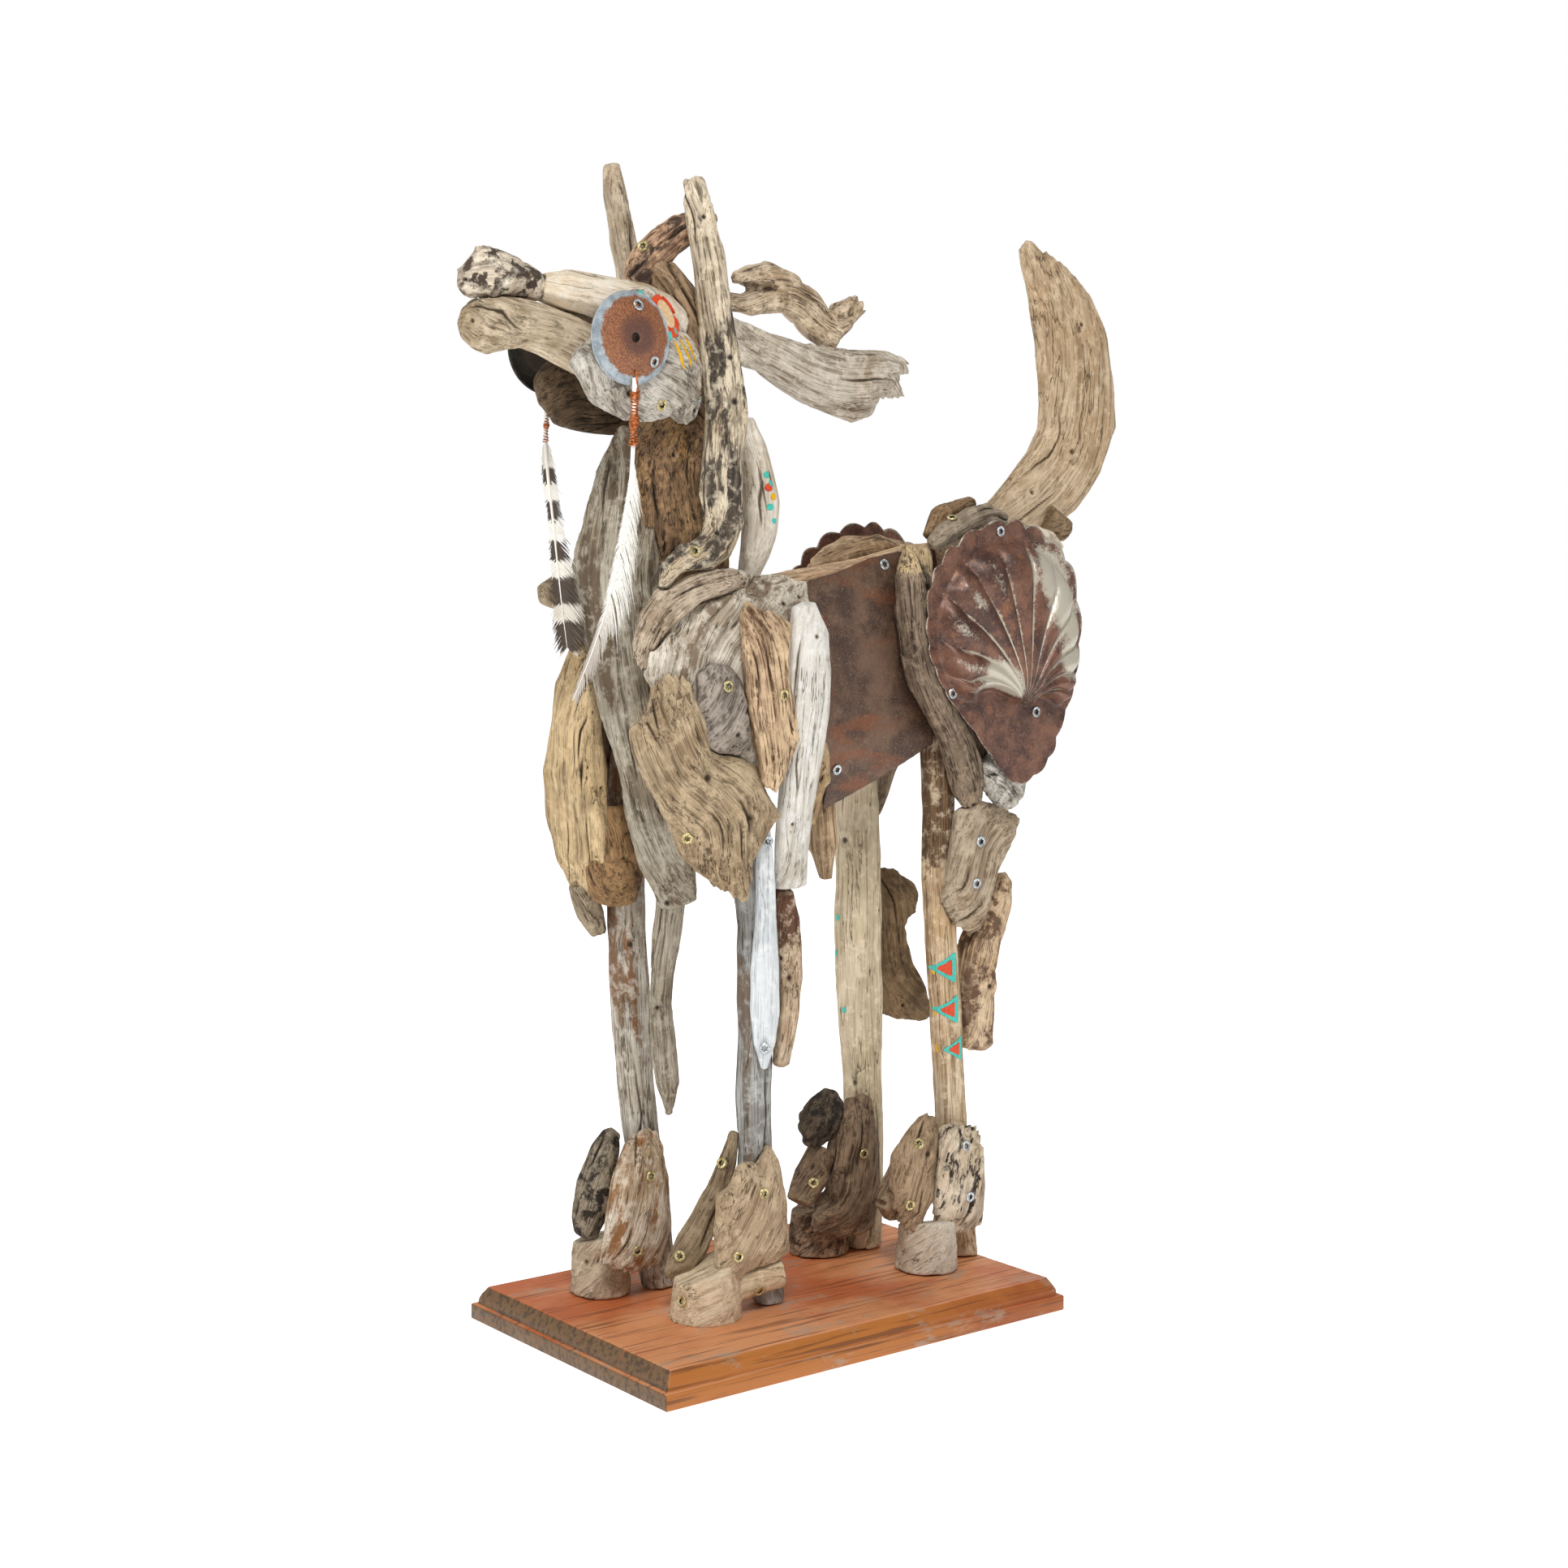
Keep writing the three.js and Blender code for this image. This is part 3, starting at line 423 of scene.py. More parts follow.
def weather(
        piece, seed, splits=5, split_depth=2.6, ridges=0.7, lumps=1.2, gnarl=0.0, ragged=0.0,
        knots=(), voxel=VOXEL, smoothing=SMOOTHING):
    """Turns a plain length of wood into driftwood.

    It is rounded by the sea, ridged along its grain, split along it, and ragged at its ends.
    Depths are in millimetres. A knot is (x, y, z, radius), also in millimetres.
    """
    maker = np.random.default_rng(seed)
    remesh = piece.modifiers.new("voxels", "REMESH")
    remesh.mode = "VOXEL"
    remesh.voxel_size = voxel
    settle(piece)
    mesh = piece.data
    links = neighbours(mesh)
    points = relaxed(corners_of(mesh), links, smoothing)
    move_to(mesh, points)
    normals = normals_of(mesh)
    grain = Grain(points, links)
    u, v, along = grain.u, grain.v, grain.along
    dark = np.zeros(len(points))
    rise = lumps * (0.9 * noise(points / (38 * MM), seed) + 0.45 * noise(points / (15 * MM), seed + 1))

    if gnarl:
        twist = np.stack([along / (34 * MM), u / (13 * MM), v / (13 * MM)], axis=1)
        fold = noise(points / (24 * MM), seed + 11) + 0.7 * noise(twist, seed + 12)
        crease = np.exp(-(fold / 0.1) ** 2)
        rise += gnarl * (1.2 * fold + 0.9 * np.abs(fold) - 0.6 * crease)
        # The crease is painted dark as well as sunk in: painted shade.
        dark = np.maximum(dark, min(0.25 * gnarl, 0.55) * crease)

    warp_u, warp_v = u.copy(), v.copy()
    for x, y, z, size in knots:
        centre = points[np.argmin(((points - np.array((x, y, z)) * MM) ** 2).sum(1))]
        away = points - centre
        gap = np.linalg.norm(away, axis=1) / (size * MM)
        aside = np.cross(grain.tangent, normals)
        push = np.exp(-(gap / 1.8) ** 2) * np.tanh((away * aside).sum(1) / (0.4 * size * MM))
        warp_u -= push * 0.7 * size * MM
        warp_v -= push * 0.7 * size * MM
        rise += 1.0 * np.exp(-((gap - 1) / 0.45) ** 2) - 1.6 * np.exp(-(gap / 0.55) ** 2)
        # A knot's pit and ring are painted dark: the knot's own colour, deepened as painted shade.
        dark = np.maximum(dark, np.exp(-(gap / 0.6) ** 2))
        dark = np.maximum(dark, 0.6 * np.exp(-((gap - 1.25) / 0.2) ** 2))

    fibre = np.stack([along / (70 * MM), warp_u / (4.6 * MM), warp_v / (4.6 * MM)], axis=1)
    broad = np.stack([along / (120 * MM), warp_u / (9 * MM), warp_v / (9 * MM)], axis=1)
    rise += ridges * (noise(fibre, seed + 2) + 1.3 * noise(broad, seed + 3))

    reach = np.percentile(np.abs(u), 97)
    for number in range(splits):
        turn = maker.normal(0, 0.35) + math.pi * maker.integers(0, 2)
        middle = maker.uniform(-0.75, 0.75) * reach
        start = maker.uniform(0.05, 0.95) * grain.length
        length = maker.uniform(0.12, 0.42) * grain.length
        width = maker.uniform(0.75, 1.05) * voxel
        plane = u * math.cos(turn) + v * math.sin(turn)
        run = np.stack([along / (28 * MM), along * 0, along * 0], axis=1)
        wander = 2.4 * MM * noise(run, seed + 7 + number)
        outer = (-u * math.sin(turn) + v * math.cos(turn)) > 0
        taper = np.clip(1 - ((along - start) / (length / 2)) ** 2, 0, 1)
        gash = outer * np.sqrt(taper) * np.exp(-((plane - middle - wander) / width) ** 2)
        rise -= split_depth * gash
        # The split is painted dark as well as cut in: painted shade.
        dark = np.maximum(dark, gash)

    end = np.minimum(along, grain.length - along) / (16 * MM)
    torn = ragged * np.exp(-np.clip(end, 0, 9) ** 2)
    comb = noise(np.stack([u / (3.2 * MM), v / (3.2 * MM), along * 0], axis=1), seed + 5)
    out = np.where(along < grain.length / 2, -1.0, 1.0)[:, None] * grain.tangent
    points = points + normals * (rise * MM)[:, None] + out * (torn * comb * MM)[:, None]

    # Curvature for the finish: raised places are lightened there as rubbed wear, hollows darkened as
    # painted shade.
    wear_and_hollow_shade = ((points - points[links].mean(1)) * normals).sum(1)
    for _ in range(3):
        wear_and_hollow_shade = wear_and_hollow_shade[links].mean(1)
    wear_and_hollow_shade = wear_and_hollow_shade / (0.12 * MM)
    move_to(mesh, points)
    cloud = np.stack([along, warp_u, warp_v], axis=1)
    store(mesh, "grain", "FLOAT_VECTOR", "vector", cloud)
    store(mesh, "split", "FLOAT", "value", np.clip(dark, 0, 1))
    store(mesh, "wear_and_hollow_shade", "FLOAT", "value", np.clip(wear_and_hollow_shade, -1, 1))


def driftwood(
        name, tones, streaks=0.7, specks=0.3, patch=None, drawn=1.0, cracks=0.8,
        gloss=0.8, stripe=240, seed=0.0):
    """The finish of one piece of weathered wood, in three tones.

    A patch is (colour, share covered, size in metres), and may have a direction it lies towards
    and how strictly. It is `drawn` out along the grain that many times.
    """
    light, middle, dark = tones.split()
    wood = Finish(name)
    grain, split, wear_and_hollow_shade = (
        wood.add("ShaderNodeAttribute", output, attribute_name=attribute)
        for attribute, output in (("grain", "Vector"), ("split", "Fac"), ("wear_and_hollow_shade", "Fac")))
    band = wood.noise((8, stripe, stripe), 5, shift=seed, source=grain)
    fibre = wood.noise((26, 4.5 * stripe, 4.5 * stripe), 3, shift=seed, source=grain)
    wash = wood.noise(16, 6, 0.65, seed)
    mottle = wood.noise(95, 4, 0.7, seed + 5)
    pore = wood.noise((150, 420, 420), 1, shift=seed + 2, source=grain)
    cloud = wood.noise((18, 55, 55), 4, 0.6, seed + 14, grain)
    vein = wood.noise((7, 0.4 * stripe, 0.4 * stripe), 4, 0.55, seed + 11, grain)
    colour = wood.mix(wood.ease(wash, 0.36, 0.64), middle, light)
    if patch:
        cover, share, size, *aim = patch
        source = grain if drawn > 1 else wood.spot
        field = wood.noise((1 / size / drawn, 1 / size, 1 / size), 5, 0.62, seed + 8, source)
        if aim:
            (*toward, past), strict = aim
            lean = wood.add(
                "ShaderNodeVectorMath", "Value", {0: wood.spot, 1: toward}, operation="DOT_PRODUCT")
            pull = wood.math("MULTIPLY", wood.math("SUBTRACT", lean, past), strict)
            field = wood.math("ADD", field, pull)
        colour = wood.mix(wood.ease(field, 0.98 - share, 1.04 - share), colour, cover)
    colour = wood.mix(wood.ease(band, 0.48, 0.66, min(1.2 * streaks, 1)), colour, dark)
    colour = wood.mix(wood.ease(fibre, 0.5, 0.64, min(1.15 * streaks, 1)), colour, dark)
    bright = (*(min(1.25 * c, 0.95) for c in tone(light)[:3]), 1)
    colour = wood.mix(wood.ease(mottle, 0.48, 0.66, 0.5), colour, bright)
    colour = wood.mix(wood.ease(cloud, 0.52, 0.7, 0.45), colour, dark)
    colour = wood.mix(wood.ease(pore, 0.74, 0.8, specks), colour, dark)
    # Raised places are lightened as rubbed wear; on the next line hollows are darkened as painted
    # shade.
    colour = wood.mix(wood.ease(wear_and_hollow_shade, 0.25, 1.0, 0.4), colour, light)
    colour = wood.mix(wood.ease(wood.math("MULTIPLY", wear_and_hollow_shade, -1.0), 0.2, 0.9, 0.7), colour, dark)
    # Splits, creases and hairline cracks are painted near-black: painted shade. In knots the same dark
    # is partly their own colour.
    line = wood.math("ABSOLUTE", wood.math("SUBTRACT", vein, 0.5))
    crack = wood.math("MULTIPLY", wood.ease(line, 0.011, 0.002), wood.ease(wash, 0.58, 0.44))
    crack = wood.math("MULTIPLY", crack, cracks)
    crack_shade = (*(0.3 * c for c in tone(dark)[:3]), 1)
    colour = wood.mix(wood.math("MAXIMUM", wood.ease(split, 0.42, 0.95), crack), colour, crack_shade)
    wood.coat(colour, gloss, more={"Specular IOR Level": 0.25})
    height = wood.math("ADD", band, wood.math("MULTIPLY", fibre, 0.6))
    height = wood.math("ADD", height, wood.math("MULTIPLY", mottle, 0.5))
    wood.relief(wood.math("SUBTRACT", height, crack), 1.8, 0.85)
    return wood


def copy_of(node, name):
    """A new piece in the shape of a CAD node, with its loose triangles joined up."""
    shape = bmesh.new()
    shape.from_mesh(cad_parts[node].data)
    bmesh.ops.remove_doubles(shape, verts=shape.verts, dist=0.01 * MM)
    return object_from(name, shape)


wood_numbers = itertools.count(1)
FINISHING = ("streaks", "specks", "patch", "drawn", "cracks", "gloss", "stripe")


def weathered(piece, name, tones, settings, slot, *nodes):
    """Shapes, finishes and fixes one piece of wood. Its number is its seed."""
    number = next(wood_numbers)
    finishing = {word: settings.pop(word) for word in FINISHING if word in settings}
    weather(piece, number, **settings)
    fix(piece, driftwood(name + "_finish", tones, seed=1.7 * number, **finishing), slot, *nodes)


def timber(node, slot, tones, **settings):
    """A piece of wood in the shape of its CAD node."""
    weathered(copy_of(node, node + "_wood"), node, tones, settings, slot, node)


timber("foreleg_left", "brown_driftwood", "B9BAB7 94918B 6A645B", patch=("7E6A57", 0.4, 0.03),
    drawn=5.0, splits=4)
timber("foreleg_right", "brown_driftwood", "CDC7BB B2A797 74644F",
    patch=("80583A", 0.47, 0.03, (0, 0, 1, 0.27), 0.7), drawn=5.0, splits=5,
    knots=((-25, -130, 345, 7),))
timber("hindleg_left", "tan_driftwood", "E0CDB0 C8A982 8A6C4C",
    patch=("55402F", 0.5, 0.03, (0, 0, 1, 0.4), 12.0), splits=4)
timber("hindleg_right", "brown_driftwood", "E3D3B8 D0BF9E 9A8A70", streaks=0.5, splits=2,
    knots=((-30, 105, 420, 8), (-20, 100, 190, 7)))


# Hooves
# Short offcuts of branch, sawn across below and rounded above, screwed to the plinth. The left
# fore one is a fork with one arm.

def hoof(node, tones, lean, block=None, arm=None, **settings):
    """A short round block, sawn flat below and sloped on top by `lean` along X and Y.

    It fills its node's box, or a `block` of it in millimetres. A forked one has an `arm` too:
    its two ends and its two radii.
    """
    low, high = [Vector(c) * MM for c in block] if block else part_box(node)
    shape = bmesh.new()
    bmesh.ops.create_cone(shape, cap_ends=True, segments=30, radius1=0.5, radius2=0.44, depth=1)
    bmesh.ops.scale(shape, vec=high - low, verts=shape.verts)
    bmesh.ops.translate(shape, vec=(low + high) / 2, verts=shape.verts)
    middle = (low + high) / 2
    for corner in shape.verts:
        if corner.co.z > middle.z:
            corner.co.z += (corner.co - middle).dot(Vector((*lean, 0))) - 2 * MM
    if arm:
        start, end = (Vector(p) * MM for p in arm[:2])
        turn = (end - start).to_track_quat("Z", "X").to_matrix().to_4x4()
        bmesh.ops.create_cone(
            shape, cap_ends=True, segments=20, radius1=arm[2] * MM, radius2=arm[3] * MM,
            depth=(end - start).length, matrix=Matrix.Translation((start + end) / 2) @ turn)
    piece = object_from(node + "_wood", shape)
    settings = {"smoothing": 3, "lumps": 0.8, "splits": 3, **settings}
    weathered(piece, node, tones, settings, "bark_wood", node)


hoof("hoof_fore_left", "E6D3B5 CFB592 9C8062", (0.1, 0.4), block=((17, -137, 29), (80, -74, 76)),
    arm=((50, -104, 52), (63, -36, 60), 16, 12), streaks=0.5, splits=1, knots=((40, -134, 30, 5),))
hoof("hoof_fore_right", "CEBFA6 B5A084 85705A", (0.25, 0.15), streaks=0.6, knots=((-57, -159, 63, 5),))
hoof("hoof_hind_left", "D9CEBE C9BAA4 A08C73", (0.2, -0.1), streaks=0.4, splits=1)
hoof("hoof_hind_right", "B8A083 9A8166 503F31", (0.1, 0.2), patch=("4A3A2E", 0.46, 0.008), drawn=3.0)


# Pasterns
# Flat slabs and split sticks that lap over the foot of each leg and the top of its hoof. Each
# is held by one or two brass screws.

timber("pastern_fore_left_slab", "tan_driftwood", "CFB99A B9A082 8A7258", splits=6,
    knots=((74, -74, 165, 5),))
timber("pastern_fore_left_stick", "brown_driftwood", "A59175 8B775D 6D5A44", splits=5)
timber("pastern_fore_right_slab", "tan_driftwood", "D8CCBA B9A183 7A5B3A",
    patch=("966A45", 0.46, 0.014), drawn=4.0, splits=4, ragged=4, gnarl=0.4)
timber("pastern_fore_right_stick", "dark_driftwood", "A39580 736554 383027",
    patch=("2F2822", 0.5, 0.02), streaks=0.8, splits=4, gnarl=1.2)
timber("pastern_hind_right_slab", "brown_driftwood", "9B836A 735E4A 463526", streaks=0.8, splits=5,
    gnarl=1.4, knots=((-18, 92, 118, 7),))
timber("pastern_hind_right_bark", "bark_wood", "6C5E4D 51453A 2C251C", patch=("2A2521", 0.5, 0.014),
    splits=4, gnarl=2.0)
timber("pastern_hind_left_slab", "tan_driftwood", "B59B7D 957B5F 5C4832", streaks=0.7, splits=4,
    gnarl=0.7, knots=((73, 126, 142, 7),), ragged=4)
timber("pastern_hind_left_birch", "birch_wood", "E6D5BD C8B294 5C493A", patch=("2E2620", 0.46, 0.009),
    drawn=2.5, streaks=0.3, splits=2, ragged=4, gnarl=0.6)


def stick(name, spine, widths, flat, tones, slot="grey_driftwood", **settings):
    """An offcut with no CAD node: tapered lengths along a spine, flattened and weathered as one."""
    shape = bmesh.new()
    spine = [Vector(p) * MM for p in spine]
    for start, end, first, last in zip(spine, spine[1:], widths, widths[1:]):
        turn = (end - start).to_track_quat("Z", "X").to_matrix().to_4x4()
        squeeze = Matrix.Diagonal((flat, 1, 1, 1))
        bmesh.ops.create_cone(
            shape, cap_ends=True, segments=14, radius1=first * MM / 2, radius2=last * MM / 2,
            depth=(end - start).length * 1.08,
            matrix=Matrix.Translation((start + end) / 2) @ turn @ squeeze)
    piece = object_from(name, shape)
    settings = {"voxel": 1.8 * MM, "smoothing": 6, "splits": 3, **settings}
    weathered(piece, name, tones, settings, slot)


stick("pastern_hind_right_wedge", ((-25, 78, 136), (-25, 68, 111), (-25, 54, 90)), (28, 43, 31), 0.6,
    "9A8266 6F5A46 3F3024", "brown_driftwood", streaks=0.8)
stick("pastern_hind_left_stub", ((35, 126, 129), (35, 108, 94), (35, 116, 77)), (20, 28, 21), 0.7,
    "A99378 8D775D 5F4A36", "tan_driftwood")


# Boards and sticks on the legs
# Thin pieces that stand off the legs: a white-painted slat, sticks at the knee and chest, and
# worn slabs at the hocks.

timber("elbow_slat", "white_painted_wood", "E4E8EA CFD4D6 7C807E", streaks=0.3, specks=0.1, gloss=0.55,
    cracks=0.4, splits=1, ridges=0.25, lumps=0.6)
timber("knee_stick", "tan_driftwood", "DFCCB2 C0A789 75533D",
    patch=("5E4030", 0.5, 0.02, (0, 0, 1, 0.345), 14.0), splits=4,
    knots=((72, -33, 320, 7), (67, -39, 337, 5)))
timber("chest_stick", "tan_driftwood", "B1A795 897D69 564636", streaks=0.75, splits=3, gnarl=0.8,
    knots=((13, -130, 297, 5),))
timber("hock_slab_left", "tan_driftwood", "BFAE97 9F876A 6E5942", streaks=0.7, splits=3, gnarl=0.4,
    ragged=3)
timber("hock_stick_left", "bark_wood", "DCC3A2 C2A27E 6E5644", patch=("6E5240", 0.5, 0.022), splits=2,
    gnarl=1.0, knots=((64, 208, 287, 6),))
timber("hock_board_right", "bark_wood", "93795A 6B553B 4A3825", streaks=0.6, splits=6,
    knots=((-52, 202, 252, 5),))
timber("stifle_block", "white_painted_wood", "D5D0C5 AFA89C 463E32", streaks=0.7, splits=2, gnarl=1.6)


# Trunk
# A thick grey log between shoulders and hips, with a board along its right side and two short
# offcuts below.

timber("trunk", "grey_driftwood", "DFBF97 C4A17F 6D523C", splits=5, voxel=2.4 * MM)
timber("flank_right", "grey_driftwood", "B9AC98 958872 5F5140", splits=6, voxel=2.4 * MM)
stick("belly_stub", ((30, 28, 545), (27, 35, 470), (25, 41, 425), (25, 45, 396)), (26, 34, 31, 16),
    0.7, "C9AE8C 9F8263 6A523B", "tan_driftwood")
stick("belly_wedge", ((46, 10, 520), (44, 14, 486), (42, 6, 452)), (34, 34, 28), 0.7,
    "D2B892 B2946E 75593C", "tan_driftwood")


# Hips
# A long slab down each thigh, a block over the croup and thin strips along the rump.

timber("thigh_left", "brown_driftwood", "A28D76 6E5D4E 33271E",
    patch=("D9BE92", 0.5, 0.012, (0, 0, 1, 0.668), 14.0), streaks=0.8, splits=4, gnarl=0.9, ragged=5,
    knots=((72, 118, 655, 8),))
timber("thigh_right", "brown_driftwood", "A28D76 7C6A58 45372B", splits=5, voxel=2.4 * MM)
timber("croup_block", "grey_driftwood", "C9AE8C A08262 5E4730", splits=3, gnarl=1.2, ragged=3)
timber("rump_strip", "grey_driftwood", "B5A58F 958571 5F4F3E", splits=3, gnarl=0.9)
stick("rump_brown", ((52, 142, 701), (46, 161, 720), (40, 201, 731)), (14, 23, 14), 0.8,
    "A98B69 86694B 523C28", "brown_driftwood")
stick("hip_filler", ((48, 172, 560), (46, 190, 522), (46, 204, 478)), (38, 44, 34), 0.8,
    "7A6652 54453A 2E2620", "brown_driftwood", gnarl=1.0)


# Tail
# One curved branch that sweeps up and back, with a long drying split, and two offcuts that
# fill the joint at its foot.

timber("tail", "tan_driftwood", "D2BC9E B89C7A 846A4C", streaks=0.65, stripe=200, splits=6,
    split_depth=2.6, gnarl=0.35, ragged=3, voxel=1.9 * MM,
    knots=((18, 353, 784, 6), (12, 368, 905, 5), (18, 300, 745, 5)))
stick("tail_foot_white", ((60, 253, 708), (60, 279, 701), (60, 295, 691)), (15, 18, 12), 0.7,
    "F2E6D2 DCC9AE 9B8468", "pale_driftwood")
stick("tail_knob", ((20, 315, 720), (20, 337, 707)), (31, 27), 0.9, "A38A6A 7D664C 4A3828",
    "brown_driftwood")


# Shoulders and breast
# Overlapping slabs on the left shoulder, one board on the right, and the long board, pad and
# rough blocks of the breast.

timber("shoulder_left", "pale_driftwood", "E5DBCB C1B39E 76654F", drawn=5.0,
    patch=("8C7A66", 0.42, 0.02), splits=6, gnarl=0.5, knots=((89, -51, 643, 6), (83, -31, 648, 5)))
timber("shoulder_arch", "grey_driftwood", "CDBBA5 A38E76 55422E", streaks=0.8, splits=5, gnarl=0.6,
    ragged=4)
timber("shoulder_stripe", "tan_driftwood", "DCBF9A B5967A 5F442C", streaks=0.95, stripe=130, splits=7,
    split_depth=2.6, ridges=0.7, ragged=2)
timber("shoulder_plank", "grey_driftwood", "B0A498 85796D 544A40", streaks=0.8, stripe=170, splits=2,
    ridges=0.6, knots=((103, -110, 535, 5),))
timber("shoulder_board", "pale_driftwood", "EFEBE3 DED8CD A3937C", streaks=0.3, splits=2, ridges=0.2,
    lumps=0.7, knots=((90, -43, 455, 4), (107, -30, 615, 5)))
timber("elbow_slab", "tan_driftwood", "C6B090 A0886A 69563F", streaks=0.75, stripe=210, splits=8,
    ridges=0.7, ragged=6, gnarl=0.7, knots=((98, -140, 500, 8), (103, -100, 465, 6)))
timber("shoulder_right", "brown_driftwood", "B8A68C 9C896E 6B5942", splits=8)
timber("breast_board", "grey_driftwood", "B9B1A0 968872 5A4C3B", drawn=5.0,
    patch=("6E5D4B", 0.47, 0.03), splits=8, ridges=0.6, gnarl=0.6,
    knots=((28, -130, 389, 7), (25, -150, 640, 6), (40, -140, 620, 5)))
timber("breast_right", "tan_driftwood", "D8BE94 C2A57A 4A3624", streaks=0.45, cracks=1.0, splits=7,
    split_depth=2.6)
stick("breast_rough", ((-35, -145, 463), (-32, -141, 427), (-38, -141, 388)), (34, 58, 44), 0.8,
    "A5825A 7C5E3E 33241A", "brown_driftwood", streaks=0.7, specks=0.9, gnarl=2.4, splits=4)
stick("breast_knob", ((-60, -160, 398), (-60, -150, 372), (-60, -142, 354)), (25, 26, 18), 0.8,
    "B7A78E 94846B 5C4D3A")


# Neck and mane
# A dark plank in the middle, a pale slab behind it, a branch up the left side that ends as the
# near ear, and behind them a long board and a twisted root for the mane.

timber("neck_centre", "dark_driftwood", "AD8B64 7E6248 30241A", streaks=0.8,
    patch=("98744A", 0.42, 0.02), drawn=5.0, splits=8, split_depth=3.0, gnarl=0.5,
    knots=((38, -128, 766, 5),))
timber("neck_back", "grey_driftwood", "E3DACB CDC0AB A08A6D", streaks=0.5, splits=5)
timber("neck_branch", "pale_driftwood", "E4D4BA C2AD8E 625546",
    patch=("3F3832", 0.435, 0.017, (0, 0, -1, -0.86), 0.5), drawn=4.5, streaks=0.75, splits=6,
    gnarl=0.9, ragged=2,
    knots=((70, -89, 809, 8), (67, -90, 846, 6), (55, -110, 959, 5), (74, -110, 700, 6)))
timber("mane_board", "tan_driftwood", "D6CCBC B09F87 766551", streaks=0.65, splits=5, ridges=0.6,
    gnarl=0.7, ragged=7, knots=((20, 40, 890, 7), (22, 70, 870, 5)))
timber("mane_twist", "pale_driftwood", "E3CFB4 B49A7A 564434", streaks=0.75, splits=4, lumps=4.0,
    gnarl=1.5, ragged=6)


# Head
# A nape block carries two cheek slabs, the nose and the jaw. Bark wraps the muzzle, an arched
# stick lies over the brow, and the far ear runs down behind.

timber("nape", "brown_driftwood", "B79A7A 6E5740 231507", streaks=0.8, splits=7)
timber("cheek_left", "grey_driftwood", "D6CFC4 A79B8A 5E5346", streaks=0.6,
    patch=("D9CDBB", 0.5, 0.05, (-0.35, 0.75, 0.5, 0.31), 14.0), splits=4, gnarl=0.5,
    knots=((64, -187, 812, 8), (50, -116, 802, 6)))
timber("cheek_right", "brown_driftwood", "74604A 564534 2F251A", streaks=0.9, stripe=170, splits=5,
    ridges=0.5)
timber("nose_upper", "tan_driftwood", "FAEDD9 E6D2B3 A58E6D", streaks=0.3, splits=4)
timber("jaw_lower", "tan_driftwood", "D9C8AE AE9878 75624A", streaks=0.6, splits=3, gnarl=0.4,
    knots=((30, -330, 862, 6),))
timber("muzzle_bark", "bark_wood", "EADBC6 B39C82 5A4A3B", patch=("4C4038", 0.49, 0.012), streaks=0.6,
    splits=2, lumps=5.0, gnarl=1.6, smoothing=6, knots=((36, -352, 902, 7),))
timber("forelock", "red_bark_wood", "DDB894 9E7458 43332B", patch=("4A3A33", 0.52, 0.016), drawn=3.0,
    splits=3, gnarl=0.8)
timber("ear_right", "tan_driftwood", "D5C5AE AE997D 75624C", streaks=0.65, splits=3, gnarl=0.3)
stick("crest_stub", ((34, -102, 928), (38, -96, 912), (38, -96, 892)), (9, 13, 9), 0.8,
    "B5A794 8E806D 574A3A")


# Hip pans
# Two enamelled steel pans in the shape of a scallop, upside down. Twelve broad flutes fan out
# from the hub over a dome, with a flat scalloped flange all round. Most of the enamel is gone.

PAN_RIM = (
    (0, -72), (24, -66), (44, -48), (54, -26), (68, 4), (77, 36), (80, 76), (68, 124),
    (44, 149), (14, 163), (-12, 167), (-46, 161), (-76, 146), (-96, 127), (-107, 104),
    (-109, 74), (-105, 48), (-93, 24), (-80, 6), (-56, -18), (-34, -42), (-18, -60),
)
PAN_HUB = (216, 548)
PAN_SCALLOPS = 24
PAN_SPOKES = 432
PAN_RINGS = 64
PAN_DOME = 19.0
PAN_FLUTES = 12
PAN_FLUTE_RISE = 7.5
PAN_FLANGE = 0.88
PAN_FAN = (0.02, 1.02)  # where the fan of flutes starts and ends, in half turns
PAN_WALL = 1.2 * MM
ENAMEL = ((34, 120, 19), (50, 84, 17), (54, 40, 13), (-40, 26, 14), (-20, 14, 10))


def curve(points, at):
    """Places on a smooth closed curve through the points, `at` these counts along them."""
    points = np.array(points, float)
    i = at.astype(int)
    f = (at - i)[:, None]
    a, b, c, d = (points[(i + k) % len(points)] for k in (-1, 0, 1, 2))
    return 0.5 * (2 * b + (c - a) * f + (2 * a - 5 * b + 4 * c - d) * f ** 2
                  + (3 * b - a - 3 * c + d) * f ** 3)


def faced_out(shape, side):
    """Turns an open sheet's faces to one side of X."""
    bmesh.ops.recalc_face_normals(shape, faces=shape.faces)
    shape.normal_update()
    if sum(f.normal.x * f.calc_area() for f in shape.faces) * side < 0:
        bmesh.ops.reverse_faces(shape, faces=shape.faces)


def thicken(piece, thickness, offset=-1):
    """Gives a sheet its wall: -1 behind its faces, 0 on both sides, 1 in front."""
    wall = piece.modifiers.new("wall", "SOLIDIFY")
    wall.thickness = thickness
    wall.offset = offset


